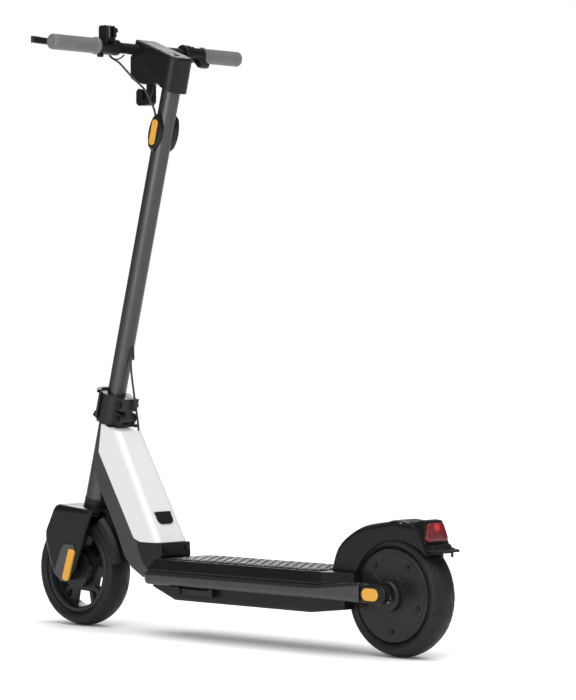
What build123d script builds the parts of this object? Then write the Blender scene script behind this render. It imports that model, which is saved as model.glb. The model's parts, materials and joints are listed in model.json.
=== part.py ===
from build123d import *
from math import cos, radians, sin
import os

# Electric kick scooter. Millimetres, +X forward, +Y to the rider's left, +Z up.
# Origin: on the ground, midway along the scooter and between its sides.

# ---- Driving dimensions -------------------------------------------------
WHEELBASE = 872.0
TYRE_R = 116.0
TYRE_W = 60.0
BEAD_R = 84.0
LIP_REACH = 134.0            # fender lip's tip behind the rear axle
RAKE = 14.73                 # steering axis back from vertical, degrees
BAR_UP = 1071.0              # bar centre up the steering axis from the front axle
BAR_AHEAD = 88.0             # bar centre ahead of the steering axis
BAR_WIDTH = 520.0            # over the grips
BAR_R = 11.1
STEM_R = 19.0
STEM_WALL = 2.0
STEERER_R = 14.3
HEAD_TUBE_R = 25.0
COLLAR_R = 32.0
DECK_TOP = 155.0
DECK_HALF = 80.0             # half width of the deck over its skirt
RAIL_OUT = 85.0              # outer face of each side rail
RAIL_LOW = 105.0
RAIL_HIGH = 132.0
PAN_LOW = 76.0
LEG_IN = 40.0                # inner face of each fork leg
LEG_OUT = 50.0
ARM_IN = 60.0                # inner face of each rear arm at the axle
ARM_OUT = 70.0
AXLE_R = 6.0
MOTOR_AXLE_R = 8.5
GRIP_R = 15.5
CABLE_R = 2.2
FOLD_PIN_R = 3.0

# ---- Clearances ---------------------------------------------------------
SEAT = 0.03                  # radial, between pieces fixed together
RUN = 0.05                   # radial, between a shaft and what turns on it
GAP = 0.3                    # between faces that only lie close

# ---- Places worked out from the sizes -----------------------------------
REAR_X = -(WHEELBASE + TYRE_R - LIP_REACH) / 2
FRONT_X = REAR_X + WHEELBASE
COS, SIN = cos(radians(RAKE)), sin(radians(RAKE))
BAR_X = FRONT_X + BAR_AHEAD * COS - BAR_UP * SIN
BAR_Z = TYRE_R + BAR_AHEAD * SIN + BAR_UP * COS
REAR_AXIS = Axis((REAR_X, 0, TYRE_R), (0, 1, 0))
FRONT_AXIS = Axis((FRONT_X, 0, TYRE_R), (0, 1, 0))
BAR_AXIS = Axis((BAR_X, 0, BAR_Z), (0, 1, 0))
BAR_END = BAR_WIDTH / 2

# Heights up the steering axis, measured from the front axle.
CROWN_LOW, CROWN_HIGH = TYRE_R + 3, TYRE_R + 11
TUBE_LOW, TUBE_HIGH = TYRE_R + 37, TYRE_R + 196
BASE_LOW = TUBE_HIGH + 3.3
SPLIT = TUBE_HIGH + 36
COLLAR_TOP = SPLIT + 28
PIN_UP = SPLIT - 14
PIN_BACK = -(COLLAR_R + 5)


def side(y=0.0, x=0.0, z=0.0):
    """Upright plane along the scooter: local x forward, local y up, facing right."""
    return Plane(origin=(x, y, z), x_dir=(1, 0, 0), z_dir=(0, -1, 0))


def rear_side(y=0.0):
    return side(y, REAR_X)


def front_side(y=0.0):
    return side(y, FRONT_X, TYRE_R)


def bar_side(y=0.0):
    return side(y, BAR_X, BAR_Z)


def up_axis(s):
    """Plane square to the steering axis, s above the front axle."""
    return Plane(origin=(FRONT_X - s * SIN, 0, TYRE_R + s * COS), x_dir=(COS, 0, SIN), z_dir=(-SIN, 0, COS))


def fork_side(y=0.0):
    """Upright plane turned to the steering axis: local x ahead of it, local y up it."""
    return Plane(origin=(FRONT_X, y, TYRE_R), x_dir=(COS, 0, SIN), z_dir=(0, -1, 0))


def fork_point(ahead, y, up):
    return (FRONT_X + ahead * COS - up * SIN, y, TYRE_R + ahead * SIN + up * COS)


def plate(plane, points, amount, radius=0.0, both=False, mode=Mode.ADD):
    """Extrude an outline, with its corners rounded by radius."""
    with BuildSketch(plane) as outline:
        Polygon(*points, align=None)
        if radius:
            fillet(outline.vertices(), radius)
    extrude(outline.sketch, amount=amount, both=both, mode=mode)


def drum(x, z, radius, y_low, y_high, mode=Mode.ADD):
    """Cylinder along Y between two widths."""
    with Locations((x, (y_low + y_high) / 2, z)):
        Cylinder(radius, y_high - y_low, rotation=(90, 0, 0), mode=mode)


def barrel(radius, s_low, s_high, mode=Mode.ADD):
    """Cylinder on the steering axis between two heights."""
    with Locations(up_axis(s_low).location):
        Cylinder(radius, s_high - s_low, align=(Align.CENTER, Align.CENTER, Align.MIN), mode=mode)


def turned(plane, axis, points, mode=Mode.ADD):
    """Revolve an outline of (radius, width) points about an axle."""
    with BuildSketch(plane) as outline:
        Polygon(*points, align=None)
    revolve(outline.sketch, axis=axis, mode=mode)


def both_sides(points):
    """A half outline on +width, closed by its mirror image."""
    return points + [(r, -w) for r, w in reversed(points)]


def hexagon(x, z, across_flats, y_low, y_high):
    with BuildSketch(side(y_high, x, z)) as outline:
        RegularPolygon(across_flats / 2, 6, major_radius=False)
    extrude(outline.sketch, amount=y_high - y_low)


rear_wheel = Plane(origin=(REAR_X, 0, TYRE_R))
front_wheel = Plane(origin=(FRONT_X, 0, TYRE_R))
os.makedirs("parts", exist_ok=True)

# ==== Tyres ==============================================================
BEAD_W = 19.8
LIP_H = 5.0
TYRE_SKIN = 5.0


def tyre_outline():
    """Hollow section of a tubeless tyre, from its beads to its crown."""
    half = TYRE_W / 2
    shoulder_r, shoulder_w = TYRE_R - 5.5, 0.72 * half
    waist = (BEAD_R + LIP_H + shoulder_r) / 2
    inner_w = BEAD_W - TYRE_SKIN + 1
    with BuildLine() as wall:
        Line((BEAD_R, inner_w), (BEAD_R, BEAD_W))
        Line((BEAD_R, BEAD_W), (BEAD_R + LIP_H, BEAD_W))
        ThreePointArc((BEAD_R + LIP_H, BEAD_W), (waist, half), (shoulder_r, shoulder_w))
        ThreePointArc((shoulder_r, shoulder_w), (TYRE_R, 0), (shoulder_r, -shoulder_w))
        ThreePointArc((shoulder_r, -shoulder_w), (waist, -half), (BEAD_R + LIP_H, -BEAD_W))
        Line((BEAD_R + LIP_H, -BEAD_W), (BEAD_R, -BEAD_W))
        Line((BEAD_R, -BEAD_W), (BEAD_R, -inner_w))
        inner_r = shoulder_r - TYRE_SKIN
        Line((BEAD_R, -inner_w), (BEAD_R + LIP_H, -inner_w))
        ThreePointArc((BEAD_R + LIP_H, -inner_w), (waist, -half + TYRE_SKIN), (inner_r, -0.8 * shoulder_w))
        ThreePointArc((inner_r, -0.8 * shoulder_w), (TYRE_R - TYRE_SKIN, 0), (inner_r, 0.8 * shoulder_w))
        ThreePointArc((inner_r, 0.8 * shoulder_w), (waist, half - TYRE_SKIN), (BEAD_R + LIP_H, inner_w))
        Line((BEAD_R + LIP_H, inner_w), (BEAD_R, inner_w))
    make_face(wall.line)


with BuildPart() as rear_tyre:
    with BuildSketch(rear_wheel):
        tyre_outline()
    revolve(axis=REAR_AXIS)
rear_tyre.part.label = "rear_tyre"
export_step(rear_tyre.part, "parts/rear_tyre.step")

with BuildPart() as front_tyre:
    with BuildSketch(front_wheel):
        tyre_outline()
    revolve(axis=FRONT_AXIS)
front_tyre.part.label = "front_tyre"
export_step(front_tyre.part, "parts/front_tyre.step")

# ==== Rear wheel: hub motor ==============================================
RIM_TOP = BEAD_R - SEAT
LIP_R = BEAD_R + LIP_H - 0.5
LIP_IN = BEAD_W + 0.2
COVER_R = 80.0
COVER_IN, COVER_OUT = 22.3, 29.0
BOSS_R, BOSS_END = 29.0, 45.0
SHELL_BORE = 64.3
SCREW_CIRCLE = 66.6
SCREW_COUNT = 5
BEARING_R, BEARING_W = 17.5, 10.0
BEARING_SEAT = 30.5
STATOR_R = 60.0

with BuildPart() as motor_shell:
    turned(rear_wheel, REAR_AXIS, both_sides([
        (RIM_TOP, 0), (RIM_TOP, LIP_IN), (LIP_R, LIP_IN), (LIP_R, LIP_IN + 4.5), (LIP_R - 2.5, LIP_IN + 8),
        (COVER_R + 0.5, LIP_IN + 8), (COVER_R + 0.5, COVER_IN - 0.3), (SHELL_BORE, COVER_IN - 0.3),
        (SHELL_BORE, 0)]))
    for sign in (1, -1):
        with Locations(Plane(origin=(REAR_X, 0, TYRE_R), z_dir=(0, sign, 0), x_dir=(0, 0, 1)).location):
            with PolarLocations(SCREW_CIRCLE + 1.4, SCREW_COUNT, start_angle=sign * 36):
                with Locations((0, 0, COVER_IN - 0.3)):
                    Cylinder(2.55, 14, align=(Align.CENTER, Align.CENTER, Align.MAX), mode=Mode.SUBTRACT)
    # magnet ring, bonded inside the shell
    turned(rear_wheel, REAR_AXIS, [(STATOR_R + 1, -15), (STATOR_R + 1, 15), (SHELL_BORE - SEAT, 15),
                                   (SHELL_BORE - SEAT, -15)])
motor_shell.part.label = "motor_shell"
export_step(motor_shell.part, "parts/motor_shell.step")

with BuildPart() as motor_covers:
    turned(rear_wheel, REAR_AXIS, [
        (14, BOSS_END), (BOSS_R - 3, BOSS_END), (BOSS_R, BOSS_END - 3), (BOSS_R + 1, COVER_OUT),
        (COVER_R, COVER_OUT), (COVER_R, COVER_IN), (BEARING_R + SEAT, COVER_IN),
        (BEARING_R + SEAT, BEARING_SEAT + BEARING_W + 0.1), (14, BEARING_SEAT + BEARING_W + 0.1)])
    face = Plane(origin=(REAR_X, COVER_OUT, TYRE_R), z_dir=(0, 1, 0), x_dir=(0, 0, 1))
    with BuildSketch(face):
        with PolarLocations(0, SCREW_COUNT, start_angle=36):
            Polygon((BOSS_R + 8, -8), (COVER_R - 5, -13), (COVER_R - 5, 13), (BOSS_R + 8, 8), align=None)
    extrude(amount=-1.2, mode=Mode.SUBTRACT)
    with Locations(face.location):
        with PolarLocations(SCREW_CIRCLE + 1.4, SCREW_COUNT, start_angle=36):
            Cylinder(2.55, 20, mode=Mode.SUBTRACT)
    mirror(about=Plane.XZ)
motor_covers.part.label = "motor_covers"
export_step(motor_covers.part, "parts/motor_covers.step")

with BuildPart() as cover_screws:
    face = Plane(origin=(REAR_X, COVER_OUT - 1.2, TYRE_R), z_dir=(0, 1, 0), x_dir=(0, 0, 1))
    with Locations(face.location):
        with PolarLocations(SCREW_CIRCLE + 1.4, SCREW_COUNT, start_angle=36):
            Cylinder(2.5, 14, align=(Align.CENTER, Align.CENTER, Align.MAX))
            with Locations((0, 0, 0.05)):
                Cylinder(4.6, 2.6, align=(Align.CENTER, Align.CENTER, Align.MIN))
                Cylinder(2.5, 0.1)
    heads = cover_screws.faces().filter_by(Plane.XZ).group_by(Axis.Y)[-1]
    fillet(heads.edges(), 1.2)
    with Locations(face.offset(2.7).location):
        with PolarLocations(SCREW_CIRCLE + 1.4, SCREW_COUNT, start_angle=36):
            Cylinder(1.5, 2.4, mode=Mode.SUBTRACT)
    mirror(about=Plane.XZ)
cover_screws.part.label = "cover_screws"
export_step(cover_screws.part, "parts/cover_screws.step")

with BuildPart() as rear_bearings:
    turned(rear_wheel, REAR_AXIS, [
        (MOTOR_AXLE_R + RUN, BEARING_SEAT), (BEARING_R, BEARING_SEAT),
        (BEARING_R, BEARING_SEAT + BEARING_W), (MOTOR_AXLE_R + RUN, BEARING_SEAT + BEARING_W)])
    mirror(about=Plane.XZ)
rear_bearings.part.label = "rear_bearings"
export_step(rear_bearings.part, "parts/rear_bearings.step")

NUT_AF, NUT_H = 19.0, 6.0

with BuildPart() as rear_axle:
    turned(rear_wheel, REAR_AXIS, both_sides([
        (0, 0), (0, ARM_OUT + NUT_H), (AXLE_R, ARM_OUT + NUT_H), (AXLE_R, ARM_IN - GAP),
        (12, ARM_IN - GAP), (12, BOSS_END + 1), (MOTOR_AXLE_R, BOSS_END + 1), (MOTOR_AXLE_R, 19),
        (36, 19), (36, 20), (STATOR_R - 6, 20), (STATOR_R - 6, 14), (STATOR_R, 14), (STATOR_R, 0)])[1:-1])
    for sign in (1, -1):
        low = ARM_OUT + GAP if sign > 0 else -ARM_OUT - GAP - NUT_H + 1
        hexagon(REAR_X, TYRE_R, NUT_AF, low, low + NUT_H - 1)
rear_axle.part.label = "rear_axle"
export_step(rear_axle.part, "parts/rear_axle.step")

# ==== Front wheel: cast rim with a drum brake ============================
HUB_BEARING_R, HUB_BEARING_W = 16.0, 10.0
HUB_RIGHT, HUB_LEFT = -30.0, 6.0
DRUM_R, DRUM_WALL, DRUM_END = 34.0, 4.0, 24.0
SPOKES = 5
SPOKE_HALF = 8.0
BARREL_IN = 77.0

with BuildPart() as front_rim:
    turned(front_wheel, FRONT_AXIS, both_sides([
        (RIM_TOP, 0), (RIM_TOP, LIP_IN), (LIP_R, LIP_IN), (LIP_R, LIP_IN + 2.5), (LIP_R - 2, LIP_IN + 4),
        (BARREL_IN + 3, LIP_IN + 4), (BARREL_IN, LIP_IN - 2), (BARREL_IN, 0)]))
    turned(front_wheel, FRONT_AXIS, [
        (HUB_BEARING_R + SEAT, HUB_RIGHT), (24, HUB_RIGHT), (26, -7), (DRUM_R + DRUM_WALL, -7),
        (DRUM_R + DRUM_WALL, DRUM_END), (DRUM_R, DRUM_END), (DRUM_R, 0), (24, 0), (24, HUB_LEFT),
        (HUB_BEARING_R + SEAT, HUB_LEFT)])
    with BuildSketch(Plane(origin=(FRONT_X, 0, TYRE_R), z_dir=(0, 1, 0), x_dir=(0, 0, 1))) as web:
        Circle(BARREL_IN + 1)
        Circle(DRUM_R + 2, mode=Mode.SUBTRACT)
        with PolarLocations(0, SPOKES, start_angle=36):
            Polygon((45, -21), (72, -27), (75.5, -14), (76.5, 0), (75.5, 14), (72, 27), (45, 21), (44, 0),
                    align=None, mode=Mode.SUBTRACT)
        with PolarLocations(0, SPOKES):
            Polygon((52, -1.5), (73, -10), (75.5, 0), (73, 10), (52, 1.5), align=None, mode=Mode.SUBTRACT)
    extrude(amount=SPOKE_HALF, both=True)
front_rim.part.label = "front_rim"
export_step(front_rim.part, "parts/front_rim.step")

with BuildPart() as front_bearings:
    for low in (HUB_RIGHT + 0.1, HUB_LEFT - HUB_BEARING_W):
        drum(FRONT_X, TYRE_R, HUB_BEARING_R, low, low + HUB_BEARING_W)
        drum(FRONT_X, TYRE_R, AXLE_R + RUN, low, low + HUB_BEARING_W, Mode.SUBTRACT)
front_bearings.part.label = "front_bearings"
export_step(front_bearings.part, "parts/front_bearings.step")

CAM_AT = (-16.0, 16.0)       # brake cam, ahead of and above the front axle
CAM_R = 4.0
SHOE_R = DRUM_R - 0.6

with BuildPart() as drum_brake:
    drum(FRONT_X, TYRE_R, DRUM_R + DRUM_WALL, DRUM_END + 0.4, DRUM_END + 3.4)
    drum(FRONT_X, TYRE_R, 10, HUB_LEFT + 0.3, LEG_IN - GAP)
    drum(FRONT_X, TYRE_R, AXLE_R + SEAT, HUB_LEFT, LEG_IN, Mode.SUBTRACT)
    drum(FRONT_X + CAM_AT[0], TYRE_R + CAM_AT[1], CAM_R + RUN, HUB_LEFT, LEG_IN, Mode.SUBTRACT)
    # two shoes, standing on the plate
    with BuildSketch(side(DRUM_END + 1, FRONT_X, TYRE_R)):
        Circle(SHOE_R)
        Circle(SHOE_R - 7, mode=Mode.SUBTRACT)
        Rectangle(12, 2 * DRUM_R, rotation=45, mode=Mode.SUBTRACT)
    extrude(amount=DRUM_END - HUB_LEFT - 3)
drum_brake.part.label = "drum_brake"
export_step(drum_brake.part, "parts/drum_brake.step")

CAM_ARM_Y = DRUM_END + 4.5

with BuildPart() as brake_arm:
    cam_x, cam_z = FRONT_X + CAM_AT[0], TYRE_R + CAM_AT[1]
    drum(cam_x, cam_z, CAM_R, DRUM_END - 14, CAM_ARM_Y + 4)
    with BuildSketch(side(CAM_ARM_Y + 4, cam_x, cam_z)):
        with BuildLine():
            Polyline((-2, -8), (-38, -16), (-40, -7), (-3, 8), (8, 3), (7, -5), close=True)
        make_face()
    extrude(amount=4)
    drum(cam_x - 35, cam_z - 11, 1.6, CAM_ARM_Y, CAM_ARM_Y + 4, Mode.SUBTRACT)
brake_arm.part.label = "brake_arm"
export_step(brake_arm.part, "parts/brake_arm.step")

with BuildPart() as front_axle:
    drum(FRONT_X, TYRE_R, AXLE_R, -LEG_OUT - NUT_H, LEG_OUT + NUT_H)
    drum(FRONT_X, TYRE_R, 9, -LEG_IN + GAP, HUB_RIGHT - 0.4)
    hexagon(FRONT_X, TYRE_R, NUT_AF, LEG_OUT + GAP, LEG_OUT + NUT_H - 1)
    hexagon(FRONT_X, TYRE_R, NUT_AF, -LEG_OUT - NUT_H + 1, -LEG_OUT - GAP)
front_axle.part.label = "front_axle"
export_step(front_axle.part, "parts/front_axle.step")

# ==== Fork ===============================================================
LEG_HALF = 14.0
CROWN_RING_R = 26.0
MUD_R = 141.0
MUD_HALF = 38.0
MUD_SKIN = 2.5

with BuildPart() as fork:
    with BuildSketch(fork_side(LEG_OUT)) as blade:
        Polygon((-LEG_HALF - 6, CROWN_HIGH), (LEG_HALF + 6, CROWN_HIGH), (LEG_HALF, 40), (LEG_HALF, 0),
                (-LEG_HALF, 0), (-LEG_HALF, 40), align=None)
        Circle(LEG_HALF)
        Circle(AXLE_R + SEAT, mode=Mode.SUBTRACT)
    extrude(amount=LEG_OUT - LEG_IN)
    mirror(about=Plane.XZ)
    plate(fork_side(LEG_OUT), [(-20, CROWN_LOW), (20, CROWN_LOW), (20, CROWN_HIGH), (-20, CROWN_HIGH)],
          2 * LEG_OUT)
    plate(fork_side(12), [(-57, CROWN_HIGH - 6), (-15, CROWN_HIGH - 6), (-15, CROWN_HIGH), (-54.5, CROWN_HIGH),
                          (-57, CROWN_HIGH - 1.1)], 24)
    barrel(CROWN_RING_R, CROWN_HIGH, TUBE_LOW - GAP)
    barrel(STEERER_R, CROWN_LOW, SPLIT - 8)
    barrel(STEERER_R - 3, CROWN_LOW, SPLIT - 8, Mode.SUBTRACT)
fork.part.label = "fork"
export_step(fork.part, "parts/fork.step")

SHROUD_OUT = 60.0
SHROUD_TOP = CROWN_HIGH + 7

with BuildPart() as fork_shroud:
    shroud = [(-84, SHROUD_TOP - 8), (26, SHROUD_TOP + 1), (35, SHROUD_TOP - 8), (60, 80), (60, 62), (48, 20),
              (34, -10), (12, -24), (-12, -18), (-28, 1), (-52, 56), (-64, 89)]
    plate(front_side(), shroud, SHROUD_OUT, both=True, radius=4)
    front_edges = fork_shroud.edges().filter_by(Axis.Y, reverse=True).filter_by(
        lambda e: e.center().X > FRONT_X + 20 and abs(e.center().Y) > SHROUD_OUT - 1)
    fillet(front_edges, 9)
    # its top rounded over at both sides
    with BuildSketch(Plane.YZ.offset(FRONT_X)) as crown:
        Polygon((-SHROUD_OUT, 0), (SHROUD_OUT, 0), (SHROUD_OUT, TYRE_R + SHROUD_TOP + 1),
                (-SHROUD_OUT, TYRE_R + SHROUD_TOP + 1), align=None)
        fillet(crown.vertices().group_by(Axis.Z)[-1], 14)
    extrude(crown.sketch, amount=120, both=True, mode=Mode.INTERSECT)
    hollow = [(-110, SHROUD_TOP - 12.9), (24, SHROUD_TOP - 2), (31, SHROUD_TOP - 9), (55.5, 79), (55.5, 63),
              (44, 21), (31, -6), (11, -19.5), (-11, -14.5), (-40, -14.5), (-110, 40)]
    plate(front_side(), hollow, LEG_OUT + GAP, both=True, mode=Mode.SUBTRACT)
    drum(FRONT_X, TYRE_R, TYRE_R + 5, -TYRE_W / 2 - 5, TYRE_W / 2 + 5, Mode.SUBTRACT)
    drum(FRONT_X, TYRE_R, 14, -LEG_OUT - NUT_H - 1, LEG_OUT + NUT_H + 1, Mode.SUBTRACT)
    barrel(CROWN_RING_R + 0.6, CROWN_HIGH - 20, TUBE_LOW, Mode.SUBTRACT)
fork_shroud.part.label = "fork_shroud"
export_step(fork_shroud.part, "parts/fork_shroud.step")

REFLECTOR_OUT = SHROUD_OUT + 4.0
amber_side = [(-38, 44), (-19, 46), (2, -18), (-16, -22)]

with BuildPart() as shroud_panels:
    plate(front_side(SHROUD_OUT + 2.6), [(-31, 54), (-4, 54), (5, 44), (24, 2), (22, -8), (6, -22), (-8, -23),
                                         (-36, 44)], 2.6 - 0.1, radius=3)
    plate(front_side(SHROUD_OUT + 3), amber_side, 4, radius=6, mode=Mode.SUBTRACT)
    mirror(about=Plane.XZ)
shroud_panels.part.label = "shroud_panels"
export_step(shroud_panels.part, "parts/shroud_panels.step")

with BuildPart() as front_reflectors:
    plate(front_side(REFLECTOR_OUT), [(-37.7, 43.7), (-19.3, 45.6), (1.6, -17.7), (-15.7, -21.6)],
          REFLECTOR_OUT - SHROUD_OUT - 0.1, radius=5.7)
    mirror(about=Plane.XZ)
front_reflectors.part.label = "front_reflectors"
export_step(front_reflectors.part, "parts/front_reflectors.step")

with BuildPart() as front_mudguard:
    start = Plane(origin=(FRONT_X, 0, TYRE_R), x_dir=(cos(radians(128)), 0, sin(radians(128))), z_dir=(
        -sin(radians(128)), 0, cos(radians(128))))
    with BuildSketch(start):
        with BuildLine():
            Polyline((MUD_R - 20, MUD_HALF), (MUD_R - 6, MUD_HALF), (MUD_R, MUD_HALF - 8), (MUD_R, -MUD_HALF + 8),
                     (MUD_R - 6, -MUD_HALF), (MUD_R - 20, -MUD_HALF), (MUD_R - 20, MUD_SKIN - MUD_HALF),
                     (MUD_R - 6.5, MUD_SKIN - MUD_HALF), (MUD_R - MUD_SKIN, 8.8 - MUD_HALF),
                     (MUD_R - MUD_SKIN, MUD_HALF - 8.8), (MUD_R - 6.5, MUD_HALF - MUD_SKIN),
                     (MUD_R - 20, MUD_HALF - MUD_SKIN), close=True)
        make_face()
    revolve(axis=FRONT_AXIS, revolution_arc=-44)
front_mudguard.part.label = "front_mudguard"
export_step(front_mudguard.part, "parts/front_mudguard.step")

# ==== Folding joint ======================================================
EAR_IN, EAR_OUT = 10.3, 22.0
TONGUE = 9.8
EAR_R = 11.0
LEVER_R = COLLAR_R + 0.8
LEVER_SKIN = 3.2
LATCH_AT = (COLLAR_R + 5.5, BASE_LOW + 6)
LATCH_PIN_R = 2.0

with BuildPart() as hinge_base:
    barrel(COLLAR_R, BASE_LOW, SPLIT - 0.2)
    barrel(22, TUBE_HIGH + GAP, BASE_LOW)
    plate(fork_side(EAR_OUT), [(-COLLAR_R + 8, BASE_LOW), (PIN_BACK - 2, BASE_LOW), (PIN_BACK - EAR_R, PIN_UP),
                               (PIN_BACK, PIN_UP + EAR_R), (-COLLAR_R + 8, PIN_UP + EAR_R)], 2 * EAR_OUT)
    with BuildSketch(fork_side(EAR_OUT)):
        with Locations((PIN_BACK, PIN_UP)):
            Circle(EAR_R)
    extrude(amount=2 * EAR_OUT)
    # guide for the cable that runs down to the neck
    plate(fork_side(-20), [(PIN_BACK + 1, BASE_LOW + 2), (PIN_BACK - 11.9, BASE_LOW + 2),
                           (PIN_BACK - 11.9, BASE_LOW + 7), (PIN_BACK + 1, BASE_LOW + 9)], 8)
    # knuckle for the latch lever
    plate(fork_side(8), [(COLLAR_R - 6, BASE_LOW), (LATCH_AT[0], BASE_LOW + 1.5),
                         (LATCH_AT[0] + 4, LATCH_AT[1]), (LATCH_AT[0], LATCH_AT[1] + 4.5),
                         (COLLAR_R - 6, LATCH_AT[1] + 5)], 16)
    # slot for the stem foot's tongue
    plate(fork_side(), [(PIN_BACK + EAR_R + 0.8, PIN_UP - EAR_R - 0.8), (PIN_BACK + EAR_R + 0.8, SPLIT + 1),
                        (PIN_BACK - 20, SPLIT + 1), (PIN_BACK - 20, PIN_UP - EAR_R - 0.8)], EAR_IN, both=True,
          mode=Mode.SUBTRACT)
    barrel(STEERER_R + SEAT, TUBE_HIGH, SPLIT, Mode.SUBTRACT)
    with BuildSketch(fork_side(EAR_OUT)):
        with Locations((PIN_BACK, PIN_UP)):
            Circle(FOLD_PIN_R + SEAT)
        with Locations(LATCH_AT):
            Circle(LATCH_PIN_R + SEAT)
    extrude(amount=2 * EAR_OUT, mode=Mode.SUBTRACT)
hinge_base.part.label = "hinge_base"
export_step(hinge_base.part, "parts/hinge_base.step")


def cross_bolt(ahead, up, radius, half_length, head_r, head_h):
    """Bolt across the scooter with a round head on each end."""
    with BuildSketch(fork_side(half_length + head_h)) as shank:
        with Locations((ahead, up)):
            Circle(radius)
    extrude(shank.sketch, amount=2 * (half_length + head_h))
    for y in (half_length + head_h, -half_length):
        with BuildSketch(fork_side(y)) as head:
            with Locations((ahead, up)):
                Circle(head_r)
        extrude(head.sketch, amount=head_h)


with BuildPart() as hinge_pins:
    cross_bolt(PIN_BACK, PIN_UP, FOLD_PIN_R, EAR_OUT + GAP, 5, 5)
    cross_bolt(LATCH_AT[0], LATCH_AT[1], LATCH_PIN_R, 15.6, 3.2, 1.5)
hinge_pins.part.label = "hinge_pins"
export_step(hinge_pins.part, "parts/hinge_pins.step")

STEM_LOW = SPLIT + 4
CLAMP_AT = (PIN_BACK, SPLIT + 13)
CLAMP_R = 3.0

with BuildPart() as stem_foot:
    barrel(COLLAR_R, SPLIT + 0.2, COLLAR_TOP)
    plate(fork_side(EAR_OUT), [(-COLLAR_R + 8, SPLIT + 2), (PIN_BACK - 8, SPLIT + 2), (PIN_BACK - 8, COLLAR_TOP),
                               (-COLLAR_R + 8, COLLAR_TOP)], 2 * EAR_OUT)
    plate(fork_side(TONGUE), [(PIN_BACK - EAR_R, PIN_UP), (PIN_BACK + EAR_R, PIN_UP), (PIN_BACK + EAR_R, SPLIT + 3),
                              (PIN_BACK - EAR_R + 3, SPLIT + 3)], 2 * TONGUE)
    with BuildSketch(fork_side(TONGUE)):
        with Locations((PIN_BACK, PIN_UP)):
            Circle(EAR_R)
    extrude(amount=2 * TONGUE)
    with BuildSketch(fork_side(EAR_OUT)):
        with Locations((PIN_BACK, PIN_UP)):
            Circle(FOLD_PIN_R + RUN)
        with Locations(CLAMP_AT):
            Circle(CLAMP_R + SEAT)
    extrude(amount=2 * EAR_OUT, mode=Mode.SUBTRACT)
    # clamp slit behind the stem tube
    plate(fork_side(), [(-COLLAR_R - 30, SPLIT + 6), (-STEM_R + 4, SPLIT + 6), (-STEM_R + 4, COLLAR_TOP + 1),
                        (-COLLAR_R - 30, COLLAR_TOP + 1)], 1.2, both=True, mode=Mode.SUBTRACT)
    barrel(STEM_R + SEAT, STEM_LOW, COLLAR_TOP + 1, Mode.SUBTRACT)
stem_foot.part.label = "stem_foot"
export_step(stem_foot.part, "parts/stem_foot.step")

with BuildPart() as clamp_bolt:
    cross_bolt(CLAMP_AT[0], CLAMP_AT[1], CLAMP_R, EAR_OUT + GAP, 5, 5)
clamp_bolt.part.label = "clamp_bolt"
export_step(clamp_bolt.part, "parts/clamp_bolt.step")

with BuildPart() as latch_lever:
    with BuildSketch(up_axis(LATCH_AT[1])):
        Circle(LEVER_R + LEVER_SKIN)
        Circle(LEVER_R, mode=Mode.SUBTRACT)
        with Locations((-40 + 10, 0)):
            Rectangle(80, 100, mode=Mode.SUBTRACT)
    extrude(amount=COLLAR_TOP - LATCH_AT[1] + 2)
    # flared lip to pull
    with BuildSketch(up_axis(COLLAR_TOP - 2)):
        Circle(LEVER_R + LEVER_SKIN + 5)
        Circle(LEVER_R, mode=Mode.SUBTRACT)
        with Locations((-40 + 16, 0)):
            Rectangle(80, 100, mode=Mode.SUBTRACT)
    extrude(amount=6)
    plate(fork_side(15.2), [(LATCH_AT[0] - 4, LATCH_AT[1]), (LATCH_AT[0] + 4, LATCH_AT[1]),
                            (LATCH_AT[0] + 2, LATCH_AT[1] + 8), (LEVER_R - 1, LATCH_AT[1] + 8)], 30.4)
    with BuildSketch(fork_side(15.2)):
        with Locations(LATCH_AT):
            Circle(4)
    extrude(amount=30.4)
    plate(fork_side(8.4), [(LEVER_R - 6, BASE_LOW - 5), (LATCH_AT[0] + 9, BASE_LOW - 5),
                           (LATCH_AT[0] + 9, LATCH_AT[1] + 9.5), (LEVER_R - 6, LATCH_AT[1] + 9.5)], 16.8,
          mode=Mode.SUBTRACT)
    barrel(COLLAR_R + 0.5, BASE_LOW, COLLAR_TOP + 9, Mode.SUBTRACT)
    with BuildSketch(fork_side(30)):
        with Locations(LATCH_AT):
            Circle(LATCH_PIN_R + RUN)
    extrude(amount=60, mode=Mode.SUBTRACT)
latch_lever.part.label = "latch_lever"
export_step(latch_lever.part, "parts/latch_lever.step")

# ==== Stem ===============================================================
STEM_HIGH = BAR_UP + 4
NUB_LOW = COLLAR_TOP + 78
REFLECTOR_UP = BAR_UP - 151

with BuildPart() as stem_tube:
    barrel(STEM_R, STEM_LOW + GAP, STEM_HIGH)
    # cable outlet welded to the back of the tube
    plate(fork_side(5), [(-STEM_R + 3, NUB_LOW + 30), (-STEM_R - 2, NUB_LOW + 26), (-STEM_R - 9, NUB_LOW + 4),
                         (-STEM_R - 9, NUB_LOW), (-STEM_R + 3, NUB_LOW)], 10)
    barrel(STEM_R - STEM_WALL, STEM_LOW, STEM_HIGH + 1, Mode.SUBTRACT)
stem_tube.part.label = "stem_tube"
export_step(stem_tube.part, "parts/stem_tube.step")

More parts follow.
